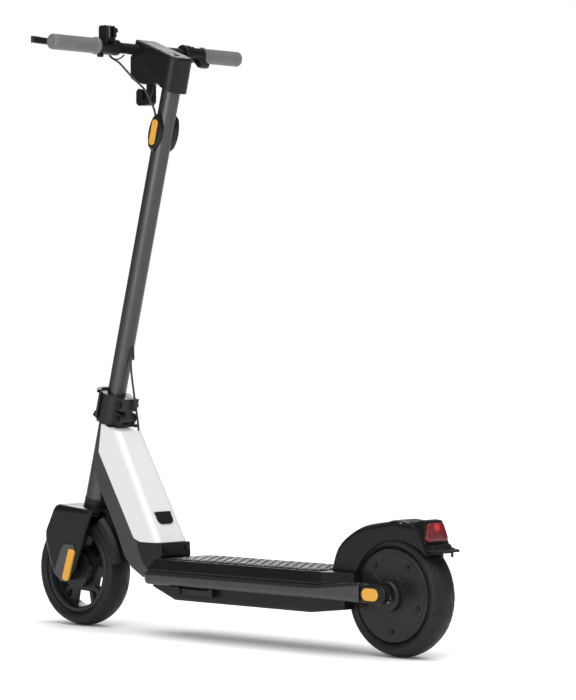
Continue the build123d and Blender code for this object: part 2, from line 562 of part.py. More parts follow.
with BuildPart() as reflector_housings:
    with BuildSketch(fork_side(STEM_R + 9)):
        with BuildLine():
            ThreePointArc((0, REFLECTOR_UP + 43), (14.5, REFLECTOR_UP), (0, REFLECTOR_UP - 43))
            ThreePointArc((0, REFLECTOR_UP - 43), (-14.5, REFLECTOR_UP), (0, REFLECTOR_UP + 43))
        make_face()
    extrude(amount=14)
    # its ends taper in to the tube
    across = Plane(origin=(FRONT_X, 0, TYRE_R), x_dir=(0, 1, 0), z_dir=(COS, 0, SIN))
    plate(across, [(8, REFLECTOR_UP - 44), (STEM_R - 1, REFLECTOR_UP - 44), (STEM_R + 9, REFLECTOR_UP - 30),
                   (STEM_R + 9, REFLECTOR_UP + 30), (STEM_R - 1, REFLECTOR_UP + 44), (8, REFLECTOR_UP + 44)],
          40, both=True, mode=Mode.INTERSECT)
    with BuildSketch(fork_side(STEM_R + 9)):
        with Locations((0, REFLECTOR_UP)):
            SlotOverall(52.6, 16.6, rotation=90)
    extrude(amount=2.5, mode=Mode.SUBTRACT)
    barrel(STEM_R + GAP, REFLECTOR_UP - 60, REFLECTOR_UP + 60, Mode.SUBTRACT)
    mirror(about=Plane.XZ)
reflector_housings.part.label = "reflector_housings"
export_step(reflector_housings.part, "parts/reflector_housings.step")

with BuildPart() as stem_reflectors:
    with BuildSketch(fork_side(STEM_R + 10)):
        with Locations((0, REFLECTOR_UP)):
            SlotOverall(52, 16, rotation=90)
    extrude(amount=3.2)
    mirror(about=Plane.XZ)
stem_reflectors.part.label = "stem_reflectors"
export_step(stem_reflectors.part, "parts/stem_reflectors.step")

# ==== Head ===============================================================
HEAD_HALF = 30.0
SEAM_FRONT, SEAM_BACK = (12.0, -16.0), (-58.0, -66.0)
DISPLAY_HALF = 21.0
BUTTON_R = 5.0
BUTTON_TRAVEL = 1.5
# The head's top slopes down from front to back.
TOP_FRONT, TOP_BACK = (5.0, 21.0), (-110.0, -24.0)
top_slope = Plane(origin=(BAR_X + (TOP_FRONT[0] + TOP_BACK[0]) / 2, 0, BAR_Z + (TOP_FRONT[1] + TOP_BACK[1]) / 2),
                  x_dir=(TOP_FRONT[0] - TOP_BACK[0], 0, TOP_FRONT[1] - TOP_BACK[1]),
                  z_dir=(TOP_BACK[1] - TOP_FRONT[1], 0, TOP_FRONT[0] - TOP_BACK[0]))

with BuildPart() as head_housing:
    plate(bar_side(), [TOP_BACK, TOP_FRONT, (9, 10), (20, -12), SEAM_FRONT, SEAM_BACK, (-66, -78), (-93, -93)],
          HEAD_HALF, both=True)
    rear_edges = head_housing.edges().filter_by(
        lambda e: e.center().X < BAR_X - 95 and abs(abs(e.center().Y) - HEAD_HALF) < 1)
    fillet(rear_edges, 20)
    top_edges = head_housing.edges().filter_by(
        lambda e: abs(abs(e.center().Y) - HEAD_HALF) < 1 and e.center().Z > BAR_Z - 10)
    fillet(top_edges, 6)
    barrel(STEM_R + SEAT, BAR_UP - 120, STEM_HIGH + GAP, Mode.SUBTRACT)
    drum(BAR_X, BAR_Z, BAR_R + SEAT, -HEAD_HALF - 1, HEAD_HALF + 1, Mode.SUBTRACT)
    # display recess and button well in the top
    with BuildSketch(top_slope):
        with Locations((12, 0)):
            RectangleRounded(62, 2 * DISPLAY_HALF, 6)
    extrude(amount=-2.2, mode=Mode.SUBTRACT)
    with BuildSketch(top_slope):
        with Locations((-34, 0)):
            Circle(BUTTON_R + 0.4)
    extrude(amount=-5, mode=Mode.SUBTRACT)
head_housing.part.label = "head_housing"
export_step(head_housing.part, "parts/head_housing.step")

with BuildPart() as headlight_housing:
    plate(bar_side(), [(SEAM_FRONT[0] + 0.2, SEAM_FRONT[1] - 0.2), (20, -12.4), (20, -56), (12, -61),
                       (-20, -71), (-53, -71), (SEAM_BACK[0] + 0.2, SEAM_BACK[1] - 0.2)], HEAD_HALF, both=True)
    front_edges = headlight_housing.edges().filter_by(
        lambda e: e.center().X > BAR_X + 11 and abs(abs(e.center().Y) - HEAD_HALF) < 1)
    fillet(front_edges, 3)
    drum(BAR_X, BAR_Z, BAR_R + GAP, -HEAD_HALF - 1, HEAD_HALF + 1, Mode.SUBTRACT)
    barrel(STEM_R + GAP, BAR_UP - 120, STEM_HIGH + 1, Mode.SUBTRACT)
    with BuildSketch(Plane(origin=(BAR_X + 11, 0, BAR_Z - 36), z_dir=(1, 0, 0), x_dir=(0, 1, 0))):
        Circle(17.5)
    extrude(amount=20, mode=Mode.SUBTRACT)
headlight_housing.part.label = "headlight_housing"
export_step(headlight_housing.part, "parts/headlight_housing.step")

with BuildPart() as headlight_lens:
    with BuildSketch(Plane(origin=(BAR_X + 11.3, 0, BAR_Z - 36), z_dir=(1, 0, 0), x_dir=(0, 1, 0))):
        Circle(17.2)
    extrude(amount=9.5)
    fillet(headlight_lens.faces().sort_by(Axis.X)[-1].edges(), 2.5)
headlight_lens.part.label = "headlight_lens"
export_step(headlight_lens.part, "parts/headlight_lens.step")

with BuildPart() as display_panel:
    with BuildSketch(top_slope.offset(-2)):
        with Locations((12, 0)):
            RectangleRounded(61.4, 2 * DISPLAY_HALF - 0.6, 5.7)
    extrude(amount=2.2)
display_panel.part.label = "display_panel"
export_step(display_panel.part, "parts/display_panel.step")

with BuildPart() as power_button:
    with BuildSketch(top_slope.offset(-5 + BUTTON_TRAVEL + 0.4)):
        with Locations((-34, 0)):
            Circle(BUTTON_R)
    extrude(amount=5 - 0.4)
    fillet(power_button.faces().sort_by(Axis.Z)[-1].edges(), 0.8)
power_button.part.label = "power_button"
export_step(power_button.part, "parts/power_button.step")

# ==== Handlebar and controls =============================================
LEFT_GRIP_IN, RIGHT_GRIP_IN = 140.0, 151.0
PERCH_IN, PERCH_OUT = 86.0, 138.0
LEVER_PIVOT = (27.0, 100.0)  # ahead of the bar, and out from the middle
LEVER_PIN_R = 3.0
LEVER_END = 241.0
BELL_AT = (-14.0, 123.0)
BELL_R, BELL_LOW = 8.5, BAR_R + 5.4
BELL_HIGH = BELL_LOW + 23.5
BELL_POST = BELL_AT[1] - BELL_R - 4
BELL_PIVOT = (-17.0, BELL_LOW + 5)

with BuildPart() as handlebar:
    drum(BAR_X, BAR_Z, BAR_R, -BAR_END + 3, BAR_END - 3)
    drum(BAR_X, BAR_Z, BAR_R - 2.2, -BAR_END, BAR_END, Mode.SUBTRACT)
handlebar.part.label = "handlebar"
export_step(handlebar.part, "parts/handlebar.step")

with BuildPart() as grips:
    for sign, inner in ((1, LEFT_GRIP_IN), (-1, RIGHT_GRIP_IN)):
        plane = Plane(origin=(BAR_X, 0, BAR_Z))
        with BuildSketch(plane):
            with BuildLine():
                Polyline((BAR_R + SEAT, sign * inner), (GRIP_R + 2, sign * inner), (GRIP_R + 2, sign * (inner + 4)),
                         (GRIP_R, sign * (inner + 8)), (GRIP_R, sign * (BAR_END - 5)))
                ThreePointArc((GRIP_R, sign * (BAR_END - 5)), (GRIP_R - 1.5, sign * (BAR_END - 1.5)),
                              (GRIP_R - 5, sign * BAR_END))
                Polyline((GRIP_R - 5, sign * BAR_END), (0, sign * BAR_END), (0, sign * (BAR_END - 2.7)),
                         (BAR_R + SEAT, sign * (BAR_END - 2.7)), (BAR_R + SEAT, sign * inner))
            make_face()
        revolve(axis=BAR_AXIS)
grips.part.label = "grips"
export_step(grips.part, "parts/grips.step")

with BuildPart() as brake_perch:
    drum(BAR_X, BAR_Z, BAR_R + 5, PERCH_IN, PERCH_OUT)
    with BuildSketch(Plane(origin=(BAR_X, 0, BAR_Z - 9))) as body:
        Polygon((4, PERCH_IN), (LEVER_PIVOT[0] - 4, PERCH_IN + 2), (LEVER_PIVOT[0] + 7, LEVER_PIVOT[1] - 4),
                (LEVER_PIVOT[0] + 7, LEVER_PIVOT[1] + 5), (LEVER_PIVOT[0] - 5, LEVER_PIVOT[1] + 9), (4, PERCH_OUT),
                align=None)
    extrude(amount=18)
    # slot for the lever and room for it to swing
    with BuildSketch(Plane(origin=(BAR_X, 0, BAR_Z - 4.4))):
        Polygon((BAR_R + 5.5, LEVER_PIVOT[1] - 9), (60, LEVER_PIVOT[1] - 9), (60, PERCH_OUT + 30),
                (BAR_R + 5.5, PERCH_OUT + 30), align=None)
    extrude(amount=8.8, mode=Mode.SUBTRACT)
    # two posts that carry the bell
    for y in (BELL_AT[1] - BELL_R - 4, BELL_AT[1] + BELL_R + 1):
        plate(side(y + 3, BAR_X, BAR_Z), [(-24, 4), (-2, 8), (-2, BELL_HIGH - 3), (-5, BELL_HIGH),
                                          (-21, BELL_HIGH), (-24, BELL_HIGH - 3)], 3)
    with BuildSketch(Plane(origin=(BAR_X + BELL_AT[0], BELL_AT[1], BAR_Z + 10))):
        Rectangle(20, 2 * BELL_R + 8)
    extrude(amount=BELL_LOW - 10 - GAP)
    drum(BAR_X + BELL_PIVOT[0], BAR_Z + BELL_PIVOT[1], 1.5, BELL_POST - 4.5, BELL_POST + 1)
    # clamp boss under the bar
    drum(BAR_X - 4, BAR_Z - BAR_R - 7, 4.5, PERCH_OUT - 10, PERCH_OUT)
    drum(BAR_X, BAR_Z, BAR_R + SEAT, PERCH_IN - 1, PERCH_OUT + 1, Mode.SUBTRACT)
    with Locations((BAR_X + LEVER_PIVOT[0], LEVER_PIVOT[1], BAR_Z)):
        Cylinder(LEVER_PIN_R, 17.9)
brake_perch.part.label = "brake_perch"
export_step(brake_perch.part, "parts/brake_perch.step")

with BuildPart() as brake_lever:
    with BuildSketch(Plane(origin=(BAR_X, 0, BAR_Z - 4))) as blade:
        with BuildLine():
            Polyline((20, 94), (34, 93), (38, 102), (50, 118), (70, 140), (81, 190), (84, LEVER_END - 7))
            ThreePointArc((84, LEVER_END - 7), (79.5, LEVER_END), (75, LEVER_END - 7))
            Polyline((75, LEVER_END - 7), (71, 192), (61, 147), (41, 125), (30, 113), (20, 107), (20, 94))
        make_face()
    extrude(amount=26)
    # the blade rises and thickens towards its end
    plate(Plane(origin=(BAR_X, 0, BAR_Z), x_dir=(0, 1, 0), z_dir=(1, 0, 0)),
          [(90, -4), (114, -4), (150, 1), (LEVER_END + 5, 5), (LEVER_END + 5, 18), (150, 12), (114, 4), (90, 4)],
          120, mode=Mode.INTERSECT)
    with Locations((BAR_X + LEVER_PIVOT[0], LEVER_PIVOT[1], BAR_Z)):
        Cylinder(LEVER_PIN_R + RUN, 20, mode=Mode.SUBTRACT)
brake_lever.part.label = "brake_lever"
export_step(brake_lever.part, "parts/brake_lever.step")

with BuildPart() as bell:
    with BuildSketch(Plane(origin=(BAR_X + BELL_AT[0], BELL_AT[1], BAR_Z + BELL_LOW))):
        Circle(BELL_R)
    extrude(amount=BELL_HIGH - BELL_LOW + 1)
    fillet(bell.faces().sort_by(Axis.Z)[-1].edges(), 3)
    with BuildSketch(Plane(origin=(BAR_X + BELL_AT[0], BELL_AT[1], BAR_Z + BELL_LOW + 2))):
        Circle(BELL_R - 1.2)
    extrude(amount=BELL_HIGH - BELL_LOW - 4.5, mode=Mode.SUBTRACT)
bell.part.label = "bell"
export_step(bell.part, "parts/bell.step")


with BuildPart() as bell_lever:
    thumb = side(BELL_POST - GAP, BAR_X, BAR_Z)
    plate(thumb, [(-23, BELL_LOW + 0.5), (-10, BELL_LOW + 0.5), (-7, BELL_LOW + 15), (-11, BELL_LOW + 21),
                  (-20, BELL_LOW + 21), (-24, BELL_LOW + 15)], 3.4, radius=2)
    plate(thumb, [(-22, BELL_LOW + 11), (-9, BELL_LOW + 11), (-11, BELL_LOW + 20), (-20, BELL_LOW + 20)], 9,
          radius=2)
    drum(BAR_X + BELL_PIVOT[0], BAR_Z + BELL_PIVOT[1], 1.5 + RUN, BELL_POST - 20, BELL_POST + 1, Mode.SUBTRACT)
bell_lever.part.label = "bell_lever"
export_step(bell_lever.part, "parts/bell_lever.step")

THROTTLE_IN, THROTTLE_SPLIT = 96.0, 124.0

with BuildPart() as throttle_housing:
    turned(Plane(origin=(BAR_X, 0, BAR_Z)), BAR_AXIS, [
        (BAR_R + SEAT, -THROTTLE_IN), (BAR_R + 6, -THROTTLE_IN), (BAR_R + 8, -THROTTLE_IN - 2),
        (BAR_R + 8, -THROTTLE_IN - 15), (BAR_R + 6.5, -THROTTLE_IN - 16.5), (BAR_R + 6.5, -THROTTLE_SPLIT + 1),
        (BAR_R + 5.5, -THROTTLE_SPLIT), (BAR_R + SEAT, -THROTTLE_SPLIT)])
    plate(side(-THROTTLE_IN - 2, BAR_X, BAR_Z), [(-22, -4), (-8, -22), (4, -22), (6, -8), (-6, 6)], 14, radius=2)
    drum(BAR_X, BAR_Z, BAR_R + SEAT, -THROTTLE_SPLIT - 1, -THROTTLE_IN + 1, Mode.SUBTRACT)
throttle_housing.part.label = "throttle_housing"
export_step(throttle_housing.part, "parts/throttle_housing.step")

with BuildPart() as throttle_paddle:
    drum(BAR_X, BAR_Z, BAR_R + 4.5, -RIGHT_GRIP_IN + 1.5, -THROTTLE_SPLIT - GAP)
    # thumb paddle, reaching out under the grip
    with BuildSketch(side(-THROTTLE_SPLIT - 4, BAR_X, BAR_Z)):
        Polygon((-14, -6), (-26, -20), (-22, -26), (-16, -27), (-2, -14), align=None)
    extrude(amount=20)
    plate(side(-THROTTLE_SPLIT - 12, BAR_X, BAR_Z), [(-27, -20), (-22, -26.5), (-14, -28), (-12, -24), (-22, -17)],
          15, radius=1.5)
    drum(BAR_X, BAR_Z, BAR_R + RUN, -RIGHT_GRIP_IN - 1, -THROTTLE_SPLIT + 1, Mode.SUBTRACT)
throttle_paddle.part.label = "throttle_paddle"
export_step(throttle_paddle.part, "parts/throttle_paddle.step")

HOOK_HALF = 9.0

with BuildPart() as bag_hook:
    plate(bar_side(), [(-16, -69.75 - GAP), (-16, -105), (-10, -111), (18, -111), (24, -105), (24, -82),
                       (18, -76), (9, -78), (6, -84), (6, -99), (-6, -99), (-6, -66.6 - GAP)], HOOK_HALF, both=True)
    fillet(bag_hook.edges().filter_by(Axis.Y).filter_by(lambda e: e.center().Z < BAR_Z - 75), 2)
bag_hook.part.label = "bag_hook"
export_step(bag_hook.part, "parts/bag_hook.step")

# ==== Frame ==============================================================
NECK_HALF = 32.0
STRIP_HALF = 37.0
FOOT_TOP = 134.0
FOOT_BACK = -271.7
PAN_HALF = 66.7
SEAT_DEPTH = 8.0             # headset bearing seats
HEADSET_R = 21.0


def from_front(*points):
    """Points along the scooter measured from the front axle, at heights above the ground."""
    return [(FRONT_X + x, z) for x, z in points]


def from_rear(*points):
    return [(REAR_X + x, z) for x, z in points]


neck_line = from_front((-81, 416), (-69, 360), (-75, 303), (-134, 202), (-158, 153), (-179, 131), (-212, 113),
                       (FOOT_BACK, 104), (-269, 136), (-266, 158), (-232, 186), (-120, 400), (-104, 416))

with BuildPart() as neck_frame:
    plate(side(), neck_line, NECK_HALF, both=True)
    # wider strip down the front, ahead of the cover
    plate(side(), from_front((-81, 416), (-69, 360), (-75, 303), (-134, 202), (-158, 153), (-179, 131),
                             (-212, 113), (-222, 113), (-222, 134), (-216.3, 140), (-199.3, 178),
                             (-191.2, 190.5), (-81.2, 361), (-87.3, 416)), STRIP_HALF, both=True)
    plate(side(), from_front((-252, 105), (-252, FOOT_TOP), (FOOT_BACK, FOOT_TOP), (FOOT_BACK, 104)), PAN_HALF,
          both=True)
    plate(side(), from_front((-92, 400), (-80, 360), (-86, 306), (-140, 207), (-163, 156), (-183, 137),
                             (-214, 119), (-264, 112), (-262, 140), (-260, 158), (-228, 184), (-117, 396)),
          NECK_HALF - 4, both=True, mode=Mode.SUBTRACT)
    barrel(HEAD_TUBE_R, TUBE_LOW, TUBE_HIGH)
    barrel(STEERER_R + 3, TUBE_LOW, TUBE_HIGH, Mode.SUBTRACT)
    barrel(2 * HEAD_TUBE_R, TUBE_HIGH, TUBE_HIGH + 15, Mode.SUBTRACT)
    barrel(HEADSET_R + SEAT, TUBE_LOW, TUBE_LOW + SEAT_DEPTH, Mode.SUBTRACT)
    barrel(HEADSET_R + SEAT, TUBE_HIGH - SEAT_DEPTH, TUBE_HIGH, Mode.SUBTRACT)
    # cable way from the deck tray
    with Locations((FRONT_X + FOOT_BACK, 0, 121)):
        Box(30, 40, 14, mode=Mode.SUBTRACT)
neck_frame.part.label = "neck_frame"
export_step(neck_frame.part, "parts/neck_frame.step")

with BuildPart() as headset_bearings:
    for low in (TUBE_LOW + 0.1, TUBE_HIGH - SEAT_DEPTH + 0.1):
        barrel(HEADSET_R, low, low + SEAT_DEPTH - 0.2)
        barrel(STEERER_R + RUN, low, low + SEAT_DEPTH - 0.2, Mode.SUBTRACT)
headset_bearings.part.label = "headset_bearings"
export_step(headset_bearings.part, "parts/headset_bearings.step")

COVER_LOW = 184.0
COVER_SKIN = 2.7
COVER_LEAN = 126 / 219       # the cover's back leans forward by this much for each rise


def neck_section(z, half, corner, front, inset=0.0):
    """Rounded rectangle across the neck cover at one height, its front left long."""
    back = FRONT_X - 262 + (z - COVER_LOW) * COVER_LEAN + inset
    with BuildSketch(Plane.XY.offset(z)) as outline:
        with Locations(((back + front) / 2, 0)):
            RectangleRounded(front - back, 2 * half, corner)
    return outline.sketch


def cover_half(z):
    return 44 - 8 * (z - COVER_LOW) / 234


# Charge port: a plane on the sloping back of the cover, local y up the slope.
port = Plane(origin=(FRONT_X - 235, 0, 230.9), x_dir=(0, -1, 0), z_dir=(-0.8668, 0, 0.4987))
PORT_HINGE = (13.0, 1.5)     # up the slope, and out from the cover
PORT_PIN_R = 1.0

with BuildPart() as neck_cover:
    loft([neck_section(180, cover_half(180), 14, FRONT_X - 90), neck_section(422, cover_half(422), 14, FRONT_X - 40)],
         ruled=True)
    plate(side(), from_front((-88, 418), (-82, 361), (-192, 191), (-210, COVER_LOW), (-300, COVER_LOW),
                             (-300, 351.75)), 60, both=True, mode=Mode.INTERSECT)
    loft([neck_section(170, cover_half(170) - COVER_SKIN, 11, FRONT_X - 60, COVER_SKIN / 0.8668),
          neck_section(400, cover_half(400) - COVER_SKIN, 11, FRONT_X - 20, COVER_SKIN / 0.8668)],
         ruled=True, mode=Mode.SUBTRACT)
    plate(side(), neck_line, NECK_HALF + GAP, both=True, mode=Mode.SUBTRACT)
    barrel(HEAD_TUBE_R + GAP, TUBE_LOW, TUBE_HIGH + 10, Mode.SUBTRACT)
    # hinge lugs of the port flap, and the opening behind it
    for x in (-23.5, 21.4):
        with BuildSketch(Plane(origin=port.origin + port.x_dir * x, x_dir=port.y_dir, z_dir=port.x_dir)):
            with Locations((PORT_HINGE[0], PORT_HINGE[1])):
                Circle(1.9)
                Rectangle(3.8, 3.4, align=(Align.CENTER, Align.MAX))
                Circle(PORT_PIN_R + RUN, mode=Mode.SUBTRACT)
        extrude(amount=2.1)
    with BuildSketch(port.offset(1)):
        with Locations((0, -1.9)):
            RectangleRounded(19, 17.8, 5)
    extrude(amount=-7, mode=Mode.SUBTRACT)
    with Locations((FRONT_X - 131, -28, 404)):
        Cylinder(CABLE_R + 0.4, 20, mode=Mode.SUBTRACT)
neck_cover.part.label = "neck_cover"
export_step(neck_cover.part, "parts/neck_cover.step")

with BuildPart() as charge_flap:
    with BuildSketch(port.offset(GAP)) as lid:
        with Locations((0, 0.1)):
            RectangleRounded(42, 27, 3)
        with Locations((0, 6)):
            Rectangle(60, 60, align=(Align.CENTER, Align.MAX), mode=Mode.SUBTRACT)
        with Locations((0, 0.1)):
            RectangleRounded(42, 27, 11)
    extrude(amount=2.5)
    with BuildSketch(port.offset(GAP)) as plug:
        with Locations((0, -2)):
            RectangleRounded(17, 16, 5)
    extrude(amount=-3)
    with BuildSketch(Plane(origin=port.origin - port.x_dir * 23.3, x_dir=port.y_dir, z_dir=port.x_dir)):
        with Locations(PORT_HINGE):
            Circle(PORT_PIN_R)
    extrude(amount=46.6)
charge_flap.part.label = "charge_flap"
export_step(charge_flap.part, "parts/charge_flap.step")

with BuildPart() as charge_socket:
    with BuildSketch(port.offset(-COVER_SKIN - GAP)):
        with Locations((0, -2)):
            RectangleRounded(30, 26, 5)
    extrude(amount=-2)
    with BuildSketch(port.offset(-COVER_SKIN - GAP)):
        with Locations((0, -2)):
            Circle(7.5)
    extrude(amount=-17)
    with BuildSketch(port.offset(-COVER_SKIN - GAP)):
        with Locations((0, -2)):
            Circle(5.5)
    extrude(amount=-12, mode=Mode.SUBTRACT)
charge_socket.part.label = "charge_socket"
export_step(charge_socket.part, "parts/charge_socket.step")

with BuildPart() as neck_base:
    plate(side(), from_front((-268, 150), (-271, 158), (-269, COVER_LOW - GAP), (-208, COVER_LOW - GAP),
                             (-200.3, 178), (-217.3, 140), (-232, FOOT_TOP + GAP), (-266, FOOT_TOP + GAP)), 42,
          both=True)
    fillet(neck_base.edges().filter_by(lambda e: abs(e.center().Y) > 41 and e.center().X < FRONT_X - 260), 4)
    plate(side(), neck_line, NECK_HALF + GAP, both=True, mode=Mode.SUBTRACT)
    plate(side(), from_front((-60, 500), (-120, 100), (-216.5, 100), (-216.5, 140), (-199.5, 178), (-190, 200)),
          STRIP_HALF + GAP, both=True, mode=Mode.SUBTRACT)
    for y in (-30, 30):
        with Locations((FRONT_X - 265, y, 172)):
            Cylinder(2.5 + SEAT, 20, rotation=(0, 90, 0), mode=Mode.SUBTRACT)
neck_base.part.label = "neck_base"
export_step(neck_base.part, "parts/neck_base.step")

TIP_R = 18.0
TIP_AT = (-8.0, TYRE_R + 5)

with BuildPart() as side_rails:
    sections = []
    for x, y_low, y_high, z_low, z_high, corner in (
            (FRONT_X - 262, RAIL_OUT - 13, RAIL_OUT - 6, RAIL_LOW + 8, RAIL_HIGH - 8, 3.4),
            (FRONT_X - 265, RAIL_OUT - 16, RAIL_OUT - 2.5, RAIL_LOW + 3, RAIL_HIGH - 3, 6.5),
            (FRONT_X - 272, RAIL_OUT - 18, RAIL_OUT, RAIL_LOW, RAIL_HIGH, 8.6),
            (REAR_X + 150, RAIL_OUT - 18, RAIL_OUT, RAIL_LOW, RAIL_HIGH, 8.6),
            (REAR_X + 50, ARM_IN, ARM_IN + 20, RAIL_LOW - 1, RAIL_HIGH + 9, 7),
            (REAR_X - 8, ARM_IN, ARM_OUT, RAIL_LOW - 2, RAIL_HIGH + 7, 4.5)):
        with BuildSketch(Plane.YZ.offset(x)) as section:
            with Locations(((y_low + y_high) / 2, (z_low + z_high) / 2)):
                RectangleRounded(y_high - y_low, z_high - z_low, corner)
        sections.append(section.sketch)
    loft(sections, ruled=True)
    drum(REAR_X + TIP_AT[0], TIP_AT[1], TIP_R, ARM_IN, ARM_OUT)
    drum(REAR_X, TYRE_R, AXLE_R + SEAT, ARM_IN - 5, RAIL_OUT, Mode.SUBTRACT)
    # flat for the bezel and nut
    with Locations((REAR_X + 2.5, RAIL_OUT, TYRE_R + 5)):
        Box(70, 2 * (RAIL_OUT - ARM_OUT), 44, mode=Mode.SUBTRACT)
    mirror(about=Plane.XZ)
side_rails.part.label = "side_rails"
export_step(side_rails.part, "parts/side_rails.step")

with BuildPart() as arm_bezels:
    with BuildSketch(side(ARM_OUT + 9, REAR_X + 2.5, TYRE_R + 5)):
        SlotOverall(62, 34)
    extrude(amount=9 - GAP)
    fillet(arm_bezels.faces().sort_by(Axis.Y)[-1].edges(), 3)
    with BuildSketch(side(ARM_OUT + 9, REAR_X + 8, TYRE_R + 4.5)):
        SlotOverall(40.6, 23.6)
    extrude(amount=1.4, mode=Mode.SUBTRACT)
    drum(REAR_X, TYRE_R, 11.6, ARM_OUT - 1, ARM_OUT + NUT_H + 0.5, Mode.SUBTRACT)
    mirror(about=Plane.XZ)
arm_bezels.part.label = "arm_bezels"
export_step(arm_bezels.part, "parts/arm_bezels.step")

with BuildPart() as arm_reflectors:
    with BuildSketch(side(ARM_OUT + 9.8, REAR_X + 8, TYRE_R + 4.5)):
        SlotOverall(40, 23)
    extrude(amount=2.1)
    mirror(about=Plane.XZ)
arm_reflectors.part.label = "arm_reflectors"
export_step(arm_reflectors.part, "parts/arm_reflectors.step")

# ==== Deck ===============================================================
NOTCH_X = 124.0              # wheel notch in the deck, ahead of the rear axle
NOTCH_HALF = 36.0
PAN_WALL = 3.0

with BuildPart() as deck_pan:
    front = FRONT_X - 272
    plate(side(), [(front, 98), (front - 60, PAN_LOW), (REAR_X + 173, PAN_LOW), (REAR_X + 87, PAN_LOW + 10),
                   (REAR_X + 87, FOOT_TOP), (front, FOOT_TOP)], PAN_HALF, both=True)
    fillet(deck_pan.edges().filter_by(lambda e: abs(e.center().Y) > PAN_HALF - 1 and e.center().Z < 100
                                      and e.length > 40), 6)
    plate(side(), [(front - PAN_WALL, 101), (front - 61, PAN_LOW + 3), (REAR_X + 173, PAN_LOW + 3),
                   (REAR_X + 130, PAN_LOW + 8), (REAR_X + 130, FOOT_TOP + 1), (front - PAN_WALL, FOOT_TOP + 1)],
          PAN_HALF - 4, both=True, mode=Mode.SUBTRACT)
    with Locations((REAR_X + NOTCH_X, 0, 110)):
        Box(100, 2 * NOTCH_HALF, 100, align=(Align.MAX, Align.CENTER, Align.CENTER), mode=Mode.SUBTRACT)
    with Locations((front, 0, 121)):
        Box(20, 40, 14, mode=Mode.SUBTRACT)
    # narrower beside the rear arms
    with BuildSketch(Plane.XY.offset(60)):
        for y in (1, -1):
            Polygon((REAR_X + 152, y * PAN_HALF), (REAR_X + 80, y * (PAN_HALF - 5.2)), (REAR_X + 80, y * 90),
                    (REAR_X + 152, y * 90), align=None)
    extrude(amount=90, mode=Mode.SUBTRACT)
deck_pan.part.label = "deck_pan"
export_step(deck_pan.part, "parts/deck_pan.step")

BATTERY_TOP = FOOT_TOP - 4

with BuildPart() as battery:
    low = PAN_LOW + 3.3
    length = WHEELBASE - 550
    with Locations((REAR_X + 182 + length / 2, 0, (low + BATTERY_TOP) / 2)):
        Box(length, 116, BATTERY_TOP - low)
    fillet(battery.edges().filter_by(Axis.X), 8)
battery.part.label = "battery"
export_step(battery.part, "parts/battery.step")

with BuildPart() as controller:
    with Locations((FRONT_X - 350, 0, PAN_LOW + 3.3)):
        Box(30, 90, 30, align=(Align.CENTER, Align.CENTER, Align.MIN))
        for y in (-30, 0, 30):
            with Locations((0, y, 30)):
                Box(30, 6, 6, align=(Align.CENTER, Align.CENTER, Align.MIN))
controller.part.label = "controller"
export_step(controller.part, "parts/controller.step")

SKIRT_LOW = RAIL_HIGH + GAP
TOP_HALF = DECK_HALF - 10


def deck_ring(z, front, shoulder, back, half, back_half):
    """Deck outline at one height: straight sides narrowing to the rear wheel."""
    with BuildSketch(Plane.XY.offset(z)) as outline:
        Polygon((FRONT_X + front, half), (REAR_X + shoulder, half), (REAR_X + back, back_half),
                (REAR_X + back, -back_half), (REAR_X + shoulder, -half), (FRONT_X + front, -half), align=None)
    return outline.sketch


with BuildPart() as deck_cover:
    low_ring = deck_ring(SKIRT_LOW, -271, 131, 70, DECK_HALF, 56)
    mid_ring = deck_ring(136, -271, 131, 70, DECK_HALF, 56)
    top_ring = deck_ring(DECK_TOP, -282, 136, 74, TOP_HALF, 50)
    loft([low_ring, mid_ring, top_ring], ruled=True)
    loft([deck_ring(SKIRT_LOW - 1, -274, 131.5, 127, DECK_HALF - 3, 56), deck_ring(
        136, -274, 131.5, 127, DECK_HALF - 3, 56), deck_ring(DECK_TOP - 3, -285, 136, 129, TOP_HALF - 2, 50)],
         ruled=True, mode=Mode.SUBTRACT)
    with Locations((REAR_X + NOTCH_X, 0, 140)):
        Box(100, 2 * (NOTCH_HALF - 1), 100, align=(Align.MAX, Align.CENTER, Align.CENTER), mode=Mode.SUBTRACT)
    # room over the pan's ears and over the rails where they rise to the axle
    with Locations((REAR_X + 80, 0, FOOT_TOP + GAP)):
        Box(110, 160, 60, align=(Align.CENTER, Align.CENTER, Align.MAX), mode=Mode.SUBTRACT)
    with Locations((FRONT_X + FOOT_BACK, 0, FOOT_TOP + GAP)):
        Box(30, 2 * PAN_HALF + 1, 20, align=(Align.CENTER, Align.CENTER, Align.MAX), mode=Mode.SUBTRACT)
    for y in (95, -58):
        plate(side(y), [(REAR_X + 160, 100), (REAR_X + 160, SKIRT_LOW - 0.1), (REAR_X + 150, SKIRT_LOW),
                        (REAR_X + 50, RAIL_HIGH + 9 + GAP), (REAR_X + 40, 100)], 37, mode=Mode.SUBTRACT)
deck_cover.part.label = "deck_cover"
export_step(deck_cover.part, "parts/deck_cover.step")

MAT_HALF = 62.0
MAT_BASE = 2.0
RIB_PITCH = 14.0

with BuildPart() as deck_mat:
    mat_back, mat_front = REAR_X + 149, FRONT_X - 310
    with BuildSketch(Plane.XY.offset(DECK_TOP)):
        with Locations(((mat_back + mat_front) / 2, 0)):
            RectangleRounded(mat_front - mat_back, 2 * MAT_HALF, 8)
    extrude(amount=MAT_BASE)
    ribs = int((mat_front - mat_back - 20) / RIB_PITCH)
    with BuildSketch(Plane.XY.offset(DECK_TOP + MAT_BASE - 0.2)):
        with Locations(((mat_back + mat_front) / 2, 0)):
            with GridLocations(RIB_PITCH, 1, ribs, 1):
                SlotOverall(2 * MAT_HALF - 8, 4, rotation=90)
    extrude(amount=1.2)
deck_mat.part.label = "deck_mat"
export_step(deck_mat.part, "parts/deck_mat.step")

